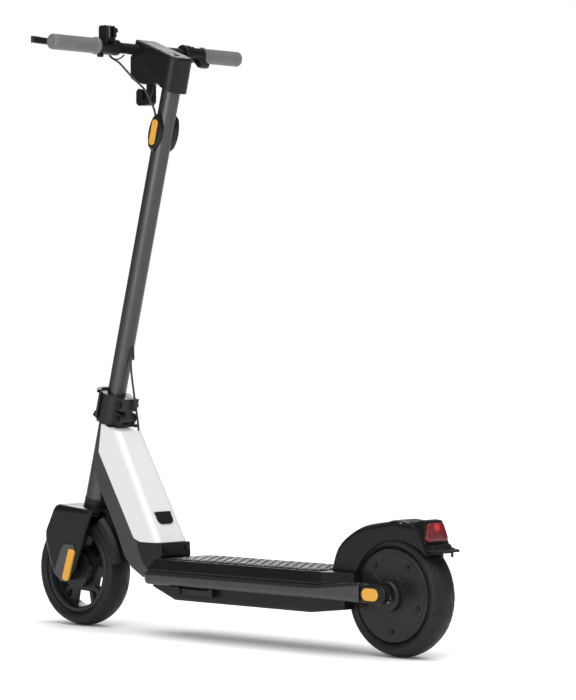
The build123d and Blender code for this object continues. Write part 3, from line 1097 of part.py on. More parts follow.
# ==== Rear fender and tail lamp ==========================================
FENDER_HALF = 38.0
FENDER_SKIN = 3.0
FENDER_FOOT = DECK_TOP + GAP
LIP_Z = 202.0

with BuildPart() as rear_fender:
    # lamp housing, wider at its foot
    plate(side(), from_rear((-45, 244), (-68, 259), (-79, 257), (-84, 217), (-78, 210)), 32, both=True)
    with BuildSketch(Plane.YZ.offset(REAR_X - 120)) as casing:
        Polygon((-32, 205), (32, 205), (24.4, 259.2), (-24.4, 259.2), align=None)
        fillet(casing.vertices().group_by(Axis.Z)[-1], 7)
    extrude(amount=100, mode=Mode.INTERSECT)
    with BuildSketch(side(FENDER_HALF, REAR_X)) as shell:
        with BuildLine():
            Polyline((80, FENDER_FOOT), (147, FENDER_FOOT), (144, 166))
            Spline((144, 166), (131, 199), (97, 228), (58, 245), (3.5, 254.5), (-45, 254),
                   tangents=((-0.25, 1), (-1, -0.12)))
            Polyline((-45, 254), (-66, 243), (-80, 222), (-88, 206), (-91, 196))
            ThreePointArc((-91, 196), (0, 219), (80, FENDER_FOOT))
        make_face()
    extrude(amount=2 * FENDER_HALF)
    rims = rear_fender.edges().filter_by(
        lambda e: abs(abs(e.center().Y) - FENDER_HALF) < 0.5 and e.center().Z > 228 and e.length > 60)
    fillet(rims, 12)
    with BuildSketch(side(FENDER_HALF - FENDER_SKIN, REAR_X)) as inside:
        with BuildLine():
            Polyline((60, FENDER_FOOT - 5), (143.5, FENDER_FOOT - 5), (141, 165))
            Spline((141, 165), (128, 197), (95.5, 225), (57, 241.5), (3.5, 251.3), (-44, 250.7),
                   tangents=((-0.25, 1), (-1, -0.12)))
            Polyline((-44, 250.7), (-63.5, 241), (-77, 221), (-85, 204), (-86, 150), (60, 150),
                     (60, FENDER_FOOT - 5))
        make_face()
    extrude(amount=2 * (FENDER_HALF - FENDER_SKIN), mode=Mode.SUBTRACT)
    with BuildSketch(Plane.XY.offset(LIP_Z)) as lip:
        Polygon((REAR_X - 85, 32), (REAR_X - 112, 28), (REAR_X - LIP_REACH, 10), (REAR_X - LIP_REACH, -10),
                (REAR_X - 112, -28), (REAR_X - 85, -32), align=None)
        fillet(lip.vertices().group_by(Axis.X)[0], 6)
    extrude(amount=4)
    # thick root of the lip, under the lamp
    plate(side(), from_rear((-86, 201), (-86, 215), (-97, 213.5), (-104, LIP_Z + 2), (-104, LIP_Z), (-96, 198.5)), 27,
          both=True)
    with Locations((REAR_X - 112, 14, LIP_Z), (REAR_X - 112, -14, LIP_Z)):
        Cylinder(2.5 + SEAT, 20, mode=Mode.SUBTRACT)
rear_fender.part.label = "rear_fender"
export_step(rear_fender.part, "parts/rear_fender.step")

with BuildPart() as taillight_lens:
    plate(side(), from_rear((-79.6, 256), (-86, 254), (-91, 220), (-84.4, 217.5)), 30, both=True)
    with BuildSketch(Plane.YZ.offset(REAR_X - 120)) as face:
        Polygon((-29.5, 217.8), (29.5, 217.8), (23.2, 255.8), (-23.2, 255.8), align=None)
        fillet(face.vertices(), 5.5)
    extrude(amount=100, mode=Mode.INTERSECT)
taillight_lens.part.label = "taillight_lens"
export_step(taillight_lens.part, "parts/taillight_lens.step")

with BuildPart() as frame_screws:
    for y in (-30, 30):
        with Locations((FRONT_X - 270.5, y, 172)):
            Cylinder(2.5, 14, rotation=(0, 90, 0), align=(Align.CENTER, Align.CENTER, Align.MIN))
            Cylinder(4.5, 2.8, rotation=(0, 90, 0), align=(Align.CENTER, Align.CENTER, Align.MAX))
    for y in (-14, 14):
        with Locations((REAR_X - 112, y, LIP_Z)):
            Cylinder(2.5, 11, align=(Align.CENTER, Align.CENTER, Align.MAX))
            Cylinder(2.5, 4.2, align=(Align.CENTER, Align.CENTER, Align.MIN))
            with Locations((0, 0, 4.1)):
                Cylinder(4.5, 2.5, align=(Align.CENTER, Align.CENTER, Align.MIN))
frame_screws.part.label = "frame_screws"
export_step(frame_screws.part, "parts/frame_screws.step")

# ==== Kickstand ==========================================================
STAND_X = FRONT_X - 358
STAND_Y = 75.0
STAND_Z = 97.5
STAND_LENGTH = 93.0
STAND_PIN_R = 2.5

with BuildPart() as kickstand_bracket:
    plate(side(STAND_Y + 7), [(STAND_X - 6, 91), (STAND_X + 20, 91), (STAND_X + 24, 96),
                              (STAND_X + 24, RAIL_LOW - GAP), (STAND_X - 2, RAIL_LOW - GAP),
                              (STAND_X - 8, 98)], 14)
    plate(side(STAND_Y + 4.4), [(STAND_X - 20, 80), (STAND_X + 7.5, 80), (STAND_X + 7.5, 120), (STAND_X - 20, 120)],
          8.8, mode=Mode.SUBTRACT)
    drum(STAND_X, STAND_Z, STAND_PIN_R, STAND_Y - 7, STAND_Y + 7)
kickstand_bracket.part.label = "kickstand_bracket"
export_step(kickstand_bracket.part, "parts/kickstand_bracket.step")

with BuildPart() as kickstand_leg:
    drum(STAND_X, STAND_Z, 6, STAND_Y - 4, STAND_Y + 4)
    plate(side(STAND_Y + 4), [(STAND_X, STAND_Z + 5.5), (STAND_X, STAND_Z - 5.5),
                              (STAND_X - 26, STAND_Z - 7), (STAND_X - STAND_LENGTH + 14, STAND_Z - 7),
                              (STAND_X - STAND_LENGTH + 8, STAND_Z - 9), (STAND_X - STAND_LENGTH, STAND_Z - 9),
                              (STAND_X - STAND_LENGTH, STAND_Z + 6), (STAND_X - STAND_LENGTH + 8, STAND_Z + 6),
                              (STAND_X - STAND_LENGTH + 14, STAND_Z + 4), (STAND_X - 30, STAND_Z + 4)], 8)
    drum(STAND_X, STAND_Z, STAND_PIN_R + RUN, STAND_Y - 5, STAND_Y + 5, Mode.SUBTRACT)
kickstand_leg.part.label = "kickstand_leg"
export_step(kickstand_leg.part, "parts/kickstand_leg.step")

# ==== Cables =============================================================
def cable(points, bend, radius=CABLE_R):
    """Round cable through points, with bends of one radius."""
    with BuildLine() as path:
        FilletPolyline(*points, radius=bend)
    with BuildSketch(path.line ^ 0) as section:
        Circle(radius)
    sweep(section.sketch, path=path.line)


def from_bar(*points):
    return [(BAR_X + x, y, BAR_Z + z) for x, y, z in points]


with BuildPart() as brake_cable:
    cable(from_bar((17, 91, -10), (15.5, 90, -17), (0, 85.5, -26), (-4.8, 80, -31.5), (-23.6, 62, -61.4),
                   (-35.1, 49, -76.9), (-40, 39, -90), (-41.3, 32, -103.6), (-48.7, 24.5, -127.4)), 4)
    # signal wires from the lever switch and the head
    cable(from_bar((14.5, 92, -13.5), (11, 88, -22), (2, 74, -23), (-1.5, 66, -13.2)), 3, 1.5)
    cable(from_bar((-39.2, 20, -71.4), (-39.5, 22, -84.9), (-40.6, 30, -99.3), (-41.3, 32, -103.6)), 4, 1.8)
brake_cable.part.label = "brake_cable"
export_step(brake_cable.part, "parts/brake_cable.step")

with BuildPart() as lower_cable:
    cable([fork_point(-23.8, 0, NUB_LOW - GAP), fork_point(-25, 0, NUB_LOW - 12), fork_point(-47.9, -2, NUB_LOW - 66),
           fork_point(-52.1, -14, NUB_LOW - 103), (FRONT_X - 131, -28, 412), (FRONT_X - 131, -28, 401)], 10)
lower_cable.part.label = "lower_cable"
export_step(lower_cable.part, "parts/lower_cable.step")
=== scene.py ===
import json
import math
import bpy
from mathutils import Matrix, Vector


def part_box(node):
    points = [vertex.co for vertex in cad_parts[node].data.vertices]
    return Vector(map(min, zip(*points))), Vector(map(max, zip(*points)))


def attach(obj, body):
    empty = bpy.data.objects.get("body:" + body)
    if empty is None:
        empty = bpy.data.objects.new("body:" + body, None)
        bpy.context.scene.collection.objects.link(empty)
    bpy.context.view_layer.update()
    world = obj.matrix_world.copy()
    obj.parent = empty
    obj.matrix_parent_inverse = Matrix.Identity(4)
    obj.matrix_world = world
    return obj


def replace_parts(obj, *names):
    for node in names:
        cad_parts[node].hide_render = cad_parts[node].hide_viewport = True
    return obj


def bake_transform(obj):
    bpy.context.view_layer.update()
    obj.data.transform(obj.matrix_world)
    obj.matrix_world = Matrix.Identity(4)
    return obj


bl_info = {
    "name": "Kick Scooter",
    "version": (1, 0, 0),
    "blender": (4, 5, 0),
    "location": "View3D > Sidebar > Kick Scooter",
    "description": "Dresses an electric kick scooter: tyres, deck mat, tail lamp, cables, finishes "
                   "and studio",
    "category": "Object",
}

import bpy
import numpy as np
from mathutils import Vector

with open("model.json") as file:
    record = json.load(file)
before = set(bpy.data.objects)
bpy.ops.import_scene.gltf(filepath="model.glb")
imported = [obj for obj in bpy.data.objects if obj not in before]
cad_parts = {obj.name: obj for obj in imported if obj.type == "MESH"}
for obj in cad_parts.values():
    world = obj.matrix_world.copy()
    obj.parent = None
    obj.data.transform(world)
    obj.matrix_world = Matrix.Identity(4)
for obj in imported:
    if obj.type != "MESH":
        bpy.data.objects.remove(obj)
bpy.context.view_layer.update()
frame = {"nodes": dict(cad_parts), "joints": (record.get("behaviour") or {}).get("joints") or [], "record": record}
JOINTS = {joint["name"]: joint for joint in frame["joints"]}
SLOTS = {part["node"]: part["material_slot"] for part in frame["record"]["subparts"]}

REAR_HUB = Vector(JOINTS["rear_wheel_spin"]["pos_m"])
FRONT_HUB = Vector(JOINTS["front_wheel_spin"]["pos_m"])
BAR = Vector(JOINTS["throttle_push"]["pos_m"])
BAR.y = 0.0
STEER = Vector(JOINTS["steering_turn"]["axis"])
AHEAD = Vector((STEER.z, 0.0, -STEER.x))
MM = 0.001


# ---- Colour and node helpers ---------------------------------------------
def hex_colour(code):
    """sRGB hex to the linear colour that shaders use."""
    parts = [int(code[i:i + 2], 16) / 255 for i in (1, 3, 5)]
    linear = [p / 12.92 if p <= 0.04045 else ((p + 0.055) / 1.055) ** 2.4 for p in parts]
    return (*linear, 1.0)


def add(tree, kind, links=None, **settings):
    """A node of one kind, with its settings, values and links."""
    made = tree.nodes.new(kind)
    for name, value in settings.items():
        setattr(made, name, value)
    for socket, source in (links or {}).items():
        if isinstance(source, bpy.types.NodeSocket):
            tree.links.new(source, made.inputs[socket])
        else:
            made.inputs[socket].default_value = source
    return made


def per_mm(size):
    """Texture scale, in cycles a metre, of a pattern with this spacing in millimetres."""
    return 1000.0 / size


COLOUR_A, COLOUR_B, COLOUR_OUT = 6, 7, 2      # the Mix node's colour sockets
CLOUD_LOW, CLOUD_HIGH = 0.3, 0.7              # a noise texture seldom leaves this range
FLAT, EDGE = 0.99, 0.9                        # how alike the flat and the rounded normals are
EDGE_PATCH = 6.0                                   # mm across one patch of edge wear and painted edge highlight


def surface(name, colour, second, mottle, rough, spread, grain, depth, edge=0.8, wear_and_highlight_colour=None,
            wear_and_highlight=0.55, relief=None, tint_of=None, **shader):
    """A finish: colour that wanders to a second one, fine grain, soft edges, and a lighter colour on them that is
    edge wear and, in the cast aluminium, also a painted highlight.

    mottle, grain, depth and edge are millimetres. relief adds a pattern's height and its depth
    in millimetres, and tint_of changes the colour from place to place."""
    material = bpy.data.materials.new(name)
    material.use_nodes = True
    tree = material.node_tree
    tree.nodes.clear()
    place = add(tree, "ShaderNodeTexCoord").outputs["Object"]
    cloud = add(tree, "ShaderNodeTexNoise",
                {"Vector": place, "Scale": per_mm(mottle), "Detail": 4.0}).outputs["Fac"]
    tint = add(tree, "ShaderNodeMix", {"Factor": cloud, COLOUR_A: colour, COLOUR_B: second},
               data_type="RGBA").outputs[COLOUR_OUT]
    sheen = add(tree, "ShaderNodeMapRange",
                {"Value": cloud, "From Min": CLOUD_LOW, "From Max": CLOUD_HIGH,
                 "To Min": rough - spread, "To Max": rough + spread}).outputs["Result"]
    soft = add(tree, "ShaderNodeBevel", {"Radius": edge * MM}, samples=6).outputs["Normal"]
    # Lighter colour painted on rounded edges: edge wear, and in the cast aluminium also a painted highlight on
    # raised edges.
    if wear_and_highlight_colour:
        flat = add(tree, "ShaderNodeNewGeometry").outputs["Normal"]
        facing = add(tree, "ShaderNodeVectorMath", {0: soft, 1: flat},
                     operation="DOT_PRODUCT").outputs["Value"]
        edge_patch = add(tree, "ShaderNodeTexNoise",
                    {"Vector": place, "Scale": per_mm(EDGE_PATCH), "Detail": 5.0}).outputs["Fac"]
        mask = add(tree, "ShaderNodeMapRange",
                   {"Value": facing, "From Min": FLAT, "From Max": EDGE, "To Min": 0.0,
                    "To Max": wear_and_highlight}).outputs["Result"]
        mask = add(tree, "ShaderNodeMath", {0: mask, 1: edge_patch},
                   operation="MULTIPLY").outputs["Value"]
        tint = add(tree, "ShaderNodeMix", {"Factor": mask, COLOUR_A: tint, COLOUR_B: wear_and_highlight_colour},
                   data_type="RGBA").outputs[COLOUR_OUT]
    if tint_of:
        tint = tint_of(tree, place, tint)
    fine = add(tree, "ShaderNodeTexNoise",
               {"Vector": place, "Scale": per_mm(grain), "Detail": 2.0}).outputs["Fac"]
    normal = add(tree, "ShaderNodeBump", {"Height": fine, "Distance": depth * MM, "Strength": 1.0,
                                          "Normal": soft}).outputs["Normal"]
    if relief:
        height, relief_depth = relief(tree, place)
        normal = add(tree, "ShaderNodeBump",
                     {"Height": height, "Distance": relief_depth * MM, "Strength": 1.0,
                      "Normal": normal}).outputs["Normal"]
    sockets = {"Base Color": tint, "Roughness": sheen, "Normal": normal}
    sockets.update(shader)
    bsdf = add(tree, "ShaderNodeBsdfPrincipled", sockets)
    add(tree, "ShaderNodeOutputMaterial", {"Surface": bsdf.outputs["BSDF"]})
    return material


# ---- Materials -----------------------------------------------------------
def user_colour(name):
    """A colour from the scene's settings, which the user can change."""
    return tuple(getattr(bpy.context.scene.scooter_colours, name))


def painted_aluminium():
    """Extruded aluminium under satin metallic paint: a soft broad highlight over fine flake."""
    return surface("painted_aluminium_satin", user_colour("paint"), hex_colour("#464646"), 60,
                   0.34, 0.03, 0.9, 0.01, edge=1.2, wear_and_highlight_colour=hex_colour("#7A7A7A"), Metallic=0.9)


def powder_coated_aluminium():
    """Black powder coat on aluminium: slight orange peel and a dull sheen."""
    return surface("powder_coated_aluminium", hex_colour("#101010"), hex_colour("#161616"), 45,
                   0.4, 0.05, 1.4, 0.02, edge=0.9, wear_and_highlight_colour=hex_colour("#4A4A4A"),
                   **{"Specular IOR Level": 0.3})


def cast_aluminium():
    """Die-cast aluminium painted satin black: sandy, with lighter edges that are partly bare metal showing and
    partly a painted highlight on raised edges.
    """
    # The strong lighter edges are part wear, part painted highlight standing in for light caught on raised edges.
    return surface("cast_aluminium_black", hex_colour("#151515"), hex_colour("#1B1B1B"), 30,
                   0.42, 0.06, 0.8, 0.03, edge=0.8, wear_and_highlight_colour=hex_colour("#6C6C6C"), wear_and_highlight=1.0,
                   **{"Specular IOR Level": 0.3})


def moulded_abs():
    """Injection-moulded ABS, spark-eroded: black and satin, with a wide soft highlight."""
    return surface("moulded_abs_black", hex_colour("#0E0E0E"), hex_colour("#131313"), 70, 0.38,
                   0.05, 0.7, 0.012, edge=1.5, wear_and_highlight_colour=hex_colour("#3A3A3A"), IOR=1.54,
                   **{"Specular IOR Level": 0.2})


def gloss_abs():
    """White ABS polished in the mould: clean and even, with a low satin gloss."""
    return surface("moulded_abs_white", user_colour("cover"), hex_colour("#C8C8C8"), 120, 0.32,
                   0.04, 1.5, 0.006, edge=2.0, IOR=1.54)


def grey_abs():
    """Grey moulded ABS trim: an even grey with a dull sheen."""
    return surface("moulded_abs_grey", hex_colour("#373737"), hex_colour("#3F3F3F"), 40, 0.42,
                   0.05, 0.7, 0.012, edge=1.0, wear_and_highlight_colour=hex_colour("#585858"), IOR=1.54,
                   **{"Specular IOR Level": 0.3})


def prism_cells(tree, place):
    """Cube-corner cells of a reflector, 2.2 mm across, drawn a little coarser than real ones."""
    cells = add(tree, "ShaderNodeTexVoronoi",
                {"Vector": place, "Scale": per_mm(2.2), "Randomness": 0.15})
    return cells.outputs["Distance"], 0.5


def reflector_acrylic():
    """Amber acrylic moulded with prisms behind a polished face: bright, with a fine sparkle."""
    return surface("acrylic_reflector_amber", user_colour("reflector"), hex_colour("#C48B2A"), 4,
                   0.3, 0.04, 3.0, 0.004, edge=0.6, relief=prism_cells, IOR=1.49)


WAVE_CYCLE = 2 * math.pi / 20                 # the Wave node turns 20 radians in one unit


def lamp_ribs(tree, place):
    """Upright ribs inside the lamp lens, 2.96 mm apart."""
    ribs = add(tree, "ShaderNodeTexWave",
               {"Vector": place, "Scale": per_mm(2.961) * WAVE_CYCLE, "Distortion": 0.0},
               bands_direction="Y")
    return ribs.outputs["Fac"], 0.35


def painted_lens_highlight(tree, place, tint):
    """Brighter red painted round a point 9 mm under the top of the lens: a painted highlight, as the lamp itself
    gives no light.
    """
    low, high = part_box("taillight_lens")
    # Centre of the painted highlight.
    source = Vector((low.x, 0.0, high.z - 9 * MM))
    away = add(tree, "ShaderNodeVectorMath", {0: place, 1: tuple(source)},
               operation="DISTANCE").outputs["Value"]
    mask = add(tree, "ShaderNodeMapRange",
               {"Value": away, "From Min": 12 * MM, "From Max": 1 * MM}).outputs["Result"]
    # Mixes in the painted highlight's brighter red.
    return add(tree, "ShaderNodeMix",
               {"Factor": mask, COLOUR_A: tint, COLOUR_B: hex_colour("#D8343C")},
               data_type="RGBA").outputs[COLOUR_OUT]


def lamp_acrylic():
    """Deep red acrylic, moulded with ribs and polished: clear gloss over a fine ribbed depth, and a painted
    highlight of brighter red near its top.
    """
    return surface("acrylic_lens_red", user_colour("lens"), hex_colour("#521014"), 14, 0.18,
                   0.03, 3.0, 0.004, edge=1.6, relief=lamp_ribs, tint_of=painted_lens_highlight, IOR=1.49)


def clear_polycarbonate():
    """Moulded polycarbonate window: clear and hard, with sharp reflections."""
    return surface("polycarbonate_clear", hex_colour("#F2F5F6"), hex_colour("#E8EDEF"), 20, 0.05,
                   0.02, 3.0, 0.003, edge=0.8, IOR=1.58, **{"Transmission Weight": 1.0})


def display_glass():
    """Acrylic window printed black on its back: a flat dark face with a dim reflection."""
    return surface("acrylic_window_black", hex_colour("#08080A"), hex_colour("#0C0C0F"), 40, 0.34,
                   0.03, 4.0, 0.003, edge=0.5, IOR=1.45, **{"Specular IOR Level": 0.12})


def tyre_rubber():
    """Vulcanised tyre rubber: near black and matt, with a trace of dust in its grain."""
    return surface("vulcanised_tyre_rubber", hex_colour("#0F0F0F"), hex_colour("#171717"), 25,
                   0.55, 0.08, 0.6, 0.03, edge=0.5, IOR=1.52, **{"Specular IOR Level": 0.25})


def grip_knurl(tree, place):
    """Small moulded diamonds on the grip, 2.4 mm across."""
    turned = add(tree, "ShaderNodeMapping",
                 {"Vector": place, "Rotation": (0.0, 0.0, math.radians(45))}).outputs["Vector"]
    checks = add(tree, "ShaderNodeTexChecker", {"Vector": turned, "Scale": per_mm(2.4)})
    return checks.outputs["Fac"], 0.12


def grip_rubber():
    """Soft grey thermoplastic rubber, moulded: matt, with small diamonds that catch dust."""
    return surface("thermoplastic_grip_rubber", user_colour("grips"), hex_colour("#5B5B5B"), 18,
                   0.55, 0.06, 0.8, 0.03, edge=0.6, relief=grip_knurl, IOR=1.5)


def rib_top_highlight_and_scuff(tree, place, tint):
    """Greyer rubber painted in the top 0.9 mm of the ribs: a painted highlight on the rib tops, and rubbing by
    shoes.
    """
    height = add(tree, "ShaderNodeSeparateXYZ", {"Vector": place}).outputs["Z"]
    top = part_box("deck_mat")[1].z
    mask = add(tree, "ShaderNodeMapRange",
               {"Value": height, "From Min": top - 0.9 * MM,
                "From Max": top - 0.1 * MM}).outputs["Result"]
    # Mixes in the grey of the painted rib-top highlight and scuffs.
    return add(tree, "ShaderNodeMix",
               {"Factor": mask, COLOUR_A: tint, COLOUR_B: hex_colour("#5C5C5C")},
               data_type="RGBA").outputs[COLOUR_OUT]


def mat_rubber():
    """Deck rubber, moulded with ribs: black and dull, with greyer rib tops that are partly a painted highlight and
    partly shoe rubbing.
    """
    return surface("moulded_deck_rubber", hex_colour("#0B0B0B"), hex_colour("#121212"), 35, 0.55,
                   0.08, 0.9, 0.04, edge=0.5, tint_of=rib_top_highlight_and_scuff, IOR=1.5,
                   **{"Specular IOR Level": 0.25})


def zinc_steel():
    """Zinc-plated steel, turned: bright, with faint turning marks."""
    return surface("zinc_plated_steel", hex_colour("#B9BBBD"), hex_colour("#A6A9AC"), 8, 0.28,
                   0.06, 0.5, 0.008, edge=0.3, Metallic=1.0)


def black_steel():
    """Steel with a black oxide finish: oily dark, bright where a tool has touched it."""
    return surface("black_oxide_steel", hex_colour("#1D1D1F"), hex_colour("#2B2B2D"), 6, 0.34,
                   0.06, 0.6, 0.01, edge=0.3, wear_and_highlight_colour=hex_colour("#6E6E70"), Metallic=0.8)


def bell_chrome():
    """Brass, polished and chrome plated: dark, with clear bright reflections."""
    return surface("chrome_plated_brass", hex_colour("#77787A"), hex_colour("#66676A"), 12, 0.12,
                   0.03, 2.0, 0.003, edge=0.4, Metallic=1.0)


def cable_jacket():
    """Extruded PVC jacket: black with a long soft highlight."""
    return surface("extruded_pvc_jacket", hex_colour("#0C0C0D"), hex_colour("#121213"), 12, 0.42,
                   0.04, 0.8, 0.008, edge=0.3, IOR=1.53)


def shrink_wrap():
    """PVC film shrunk over a cell pack: blue, smooth and a little glossy."""
    return surface("pvc_shrink_wrap", hex_colour("#22344E"), hex_colour("#1C2C44"), 20, 0.3,
                   0.05, 2.0, 0.02, edge=1.0, IOR=1.53)


FINISHES = {
    "dark_alloy": painted_aluminium,
    "black_alloy": powder_coated_aluminium,
    "cast_alloy": cast_aluminium,
    "black_plastic": moulded_abs,
    "white_plastic": gloss_abs,
    "grey_plastic": grey_abs,
    "amber": reflector_acrylic,
    "red_lens": lamp_acrylic,
    "clear_lens": clear_polycarbonate,
    "display": display_glass,
    "tyre": tyre_rubber,
    "grip_rubber": grip_rubber,
    "mat_rubber": mat_rubber,
    "steel": zinc_steel,
    "black_steel": black_steel,
    "bell_metal": bell_chrome,
    "cable_jacket": cable_jacket,
    "pack_wrap": shrink_wrap,
}
made_finishes = {}


def finish(slot):
    """The material of one slot, made once."""
    if slot not in made_finishes:
        made_finishes[slot] = FINISHES[slot]()
    return made_finishes[slot]


# ---- Mesh helpers --------------------------------------------------------
def mesh_piece(name, points, faces, slot, body, smooth=40):
    """A mesh in the row frame that takes a slot's finish and rides on a body, where one is given.

    smooth is the angle, in degrees, over which an edge stays sharp."""
    mesh = bpy.data.meshes.new(name)
    mesh.from_pydata([tuple(p) for p in points], [], faces)
    mesh.validate()
    mesh.update()
    mesh.materials.append(finish(slot))
    piece = bpy.data.objects.new(name, mesh)
    bpy.context.scene.collection.objects.link(piece)
    for polygon in mesh.polygons:
        polygon.use_smooth = True
    mesh.set_sharp_from_angle(angle=math.radians(smooth))
    if body:
        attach(piece, body)
    return piece


def grid_faces(rows, columns, close_rows, close_columns):
    """Quads over a grid of points stored row by row."""
    faces = []
    for i in range(rows if close_rows else rows - 1):
        for j in range(columns if close_columns else columns - 1):
            row, following = i * columns, (i + 1) % rows * columns
            beside = (j + 1) % columns
            faces.append((row + j, row + beside, following + beside, following + j))
    return faces


def capped_faces(rows, columns):
    """Quads over a stack of closed rings, with a face over each end."""
    last = (rows - 1) * columns
    faces = grid_faces(rows, columns, False, True)
    return faces + [tuple(range(last, last + columns)), tuple(range(columns))[::-1]]


def arc(start, middle, end, steps):
    """Points on the arc through three points, the first left out."""
    (ax, ay), (bx, by), (cx, cy) = start, middle, end
    d = 2 * (ax * (by - cy) + bx * (cy - ay) + cx * (ay - by))
    squares = [ax * ax + ay * ay, bx * bx + by * by, cx * cx + cy * cy]
    ux = (squares[0] * (by - cy) + squares[1] * (cy - ay) + squares[2] * (ay - by)) / d
    uy = (squares[0] * (cx - bx) + squares[1] * (ax - cx) + squares[2] * (bx - ax)) / d
    radius = math.hypot(ax - ux, ay - uy)
    first, half, last = (math.atan2(y - uy, x - ux) for x, y in (start, middle, end))
    turn = (last - first) % (2 * math.pi)
    if (half - first) % (2 * math.pi) > turn:
        turn -= 2 * math.pi
    angles = [first + turn * k / steps for k in range(1, steps + 1)]
    return [(ux + radius * math.cos(t), uy + radius * math.sin(t)) for t in angles]


def ring(points, steps, sunk):
    """An outline of (radius, width) turned about Y, with each point sunk by sunk(angle)."""
    outline = np.array(points)
    turned = []
    for k in range(steps):
        angle = 2 * math.pi * k / steps
        radius = outline[:, 0] - sunk(angle)
        turned.append(np.stack([radius * math.sin(angle), outline[:, 1],
                                radius * math.cos(angle)], axis=1))
    return np.concatenate(turned)


def corner_points(x, y, toward_x, toward_y, radius, first_degrees):
    """Quarter circle that rounds the corner at x, y of an outline, in steps of 15 degrees."""
    angles = [math.radians(first_degrees + 15 * k) for k in range(7)]
    return [(x + toward_x * radius + radius * math.cos(angle),
             y + toward_y * radius + radius * math.sin(angle)) for angle in angles]


def spline_points(points, closeness=24):
    """Points along the smooth NURBS line that a route's points control."""
    curve = bpy.data.curves.new("route", "CURVE")
    curve.dimensions = "3D"
    spline = curve.splines.new("NURBS")
    spline.points.add(len(points) - 1)
    for point, place in zip(spline.points, points):
        point.co = (*place, 1.0)
    spline.order_u = 3
    spline.use_endpoint_u = True
    spline.resolution_u = closeness
    route = bpy.data.objects.new("route", curve)
    bpy.context.scene.collection.objects.link(route)
    evaluated = route.evaluated_get(bpy.context.evaluated_depsgraph_get())
    line = bpy.data.meshes.new_from_object(evaluated)
    places = [vertex.co.copy() for vertex in line.vertices]
    bpy.data.objects.remove(route)
    bpy.data.curves.remove(curve)
    bpy.data.meshes.remove(line)
    return places


def tube(name, places, radius, body=None, sides=16):
    """Round cable along a line of points, closed at both ends."""
    rows = []
    across = (places[1] - places[0]).orthogonal().normalized()
    turns = [2 * math.pi * k / sides for k in range(sides)]
    for i, place in enumerate(places):
        along = (places[min(i + 1, len(places) - 1)] - places[max(i - 1, 0)]).normalized()
        across = (across - along * across.dot(along)).normalized()
        other = along.cross(across)
        rows += [place + (across * math.cos(turn) + other * math.sin(turn)) * radius
                 for turn in turns]
    return mesh_piece(name, rows, capped_faces(len(places), sides), "cable_jacket", body)


def fork_point(ahead, side, up):
    """Point measured ahead of and up the steering axis from the front axle, in millimetres."""
    return FRONT_HUB + AHEAD * ahead * MM + Vector((0, side * MM, 0)) + STEER * up * MM


def bar_point(ahead, side, up):
    """Point measured from the middle of the handlebar, in millimetres."""
    return BAR + Vector((ahead, side, up)) * MM


# ---- Sizes and colours a user would change -------------------------------
class TyreSizes(bpy.types.PropertyGroup):
    groove: bpy.props.FloatProperty(
        name="Groove depth", description="Depth of the tread's grooves",
        default=2.2 * MM, min=0.0, max=3.0 * MM, precision=5, unit="LENGTH")
    pitch: bpy.props.FloatProperty(
        name="Tread pitch", description="Distance round the tyre between grooves",
        default=46.0 * MM, min=10.0 * MM, max=80.0 * MM, precision=4, unit="LENGTH")
    steps: bpy.props.IntProperty(
        name="Steps", description="Slices round each tyre", default=720, min=90)


class MatSizes(bpy.types.PropertyGroup):
    pitch: bpy.props.FloatProperty(
        name="Rib pitch", description="Distance along the deck between ribs",
        default=20.8 * MM, min=6.0 * MM, precision=4, unit="LENGTH")
    rib: bpy.props.FloatProperty(
        name="Rib width", description="Width of a rib along the deck",
        default=11.0 * MM, min=2.0 * MM, precision=4, unit="LENGTH")
    height: bpy.props.FloatProperty(
        name="Rib height", description="Height of a rib",
        default=1.0 * MM, min=0.5 * MM, precision=5, unit="LENGTH")
    slant: bpy.props.FloatProperty(
        name="Rib slant", description="Angle of a rib from the deck's length",
        default=math.radians(53), min=math.radians(20), max=math.radians(90), subtype="ANGLE")
    split: bpy.props.FloatProperty(
        name="Split", description="Place across the mat where its two bands of ribs meet",
        default=0.38, min=0.0, max=1.0, subtype="FACTOR")
    border: bpy.props.FloatProperty(
        name="Border", description="Width of the plain border round the ribs",
        default=7.0 * MM, min=2.0 * MM, precision=4, unit="LENGTH")


def colour_property(name, description, code):
    """A colour property with an sRGB hex default."""
    return bpy.props.FloatVectorProperty(name=name, description=description, size=4,
                                         subtype="COLOR", min=0.0, max=1.0,
                                         default=hex_colour(code))


class FinishColours(bpy.types.PropertyGroup):
    paint: colour_property("Frame paint", "Colour of the painted frame, fork and stem", "#4E4E4E")
    cover: colour_property("Neck cover", "Colour of the large moulded neck cover", "#CDCDCD")
    reflector: colour_property("Reflectors", "Colour of the side reflectors", "#D29C38")
    lens: colour_property("Tail lamp", "Colour of the tail lamp's lens", "#6E1418")
    grips: colour_property("Grips", "Colour of the rubber grips", "#666666")


class StudioSettings(bpy.types.PropertyGroup):
    floor: colour_property("Floor", "Colour of the studio floor", "#FCFCFC")
    room: bpy.props.FloatProperty(
        name="Room light", description="Strength of the even light all round",
        default=0.16, min=0.0)
    sky: bpy.props.FloatProperty(
        name="Ceiling light", description="Strength of the wide soft light overhead",
        default=3.5, min=0.0)
    key: bpy.props.FloatProperty(
        name="Key light", description="Power of the main soft box", default=95.0, min=0.0,
        unit="POWER")


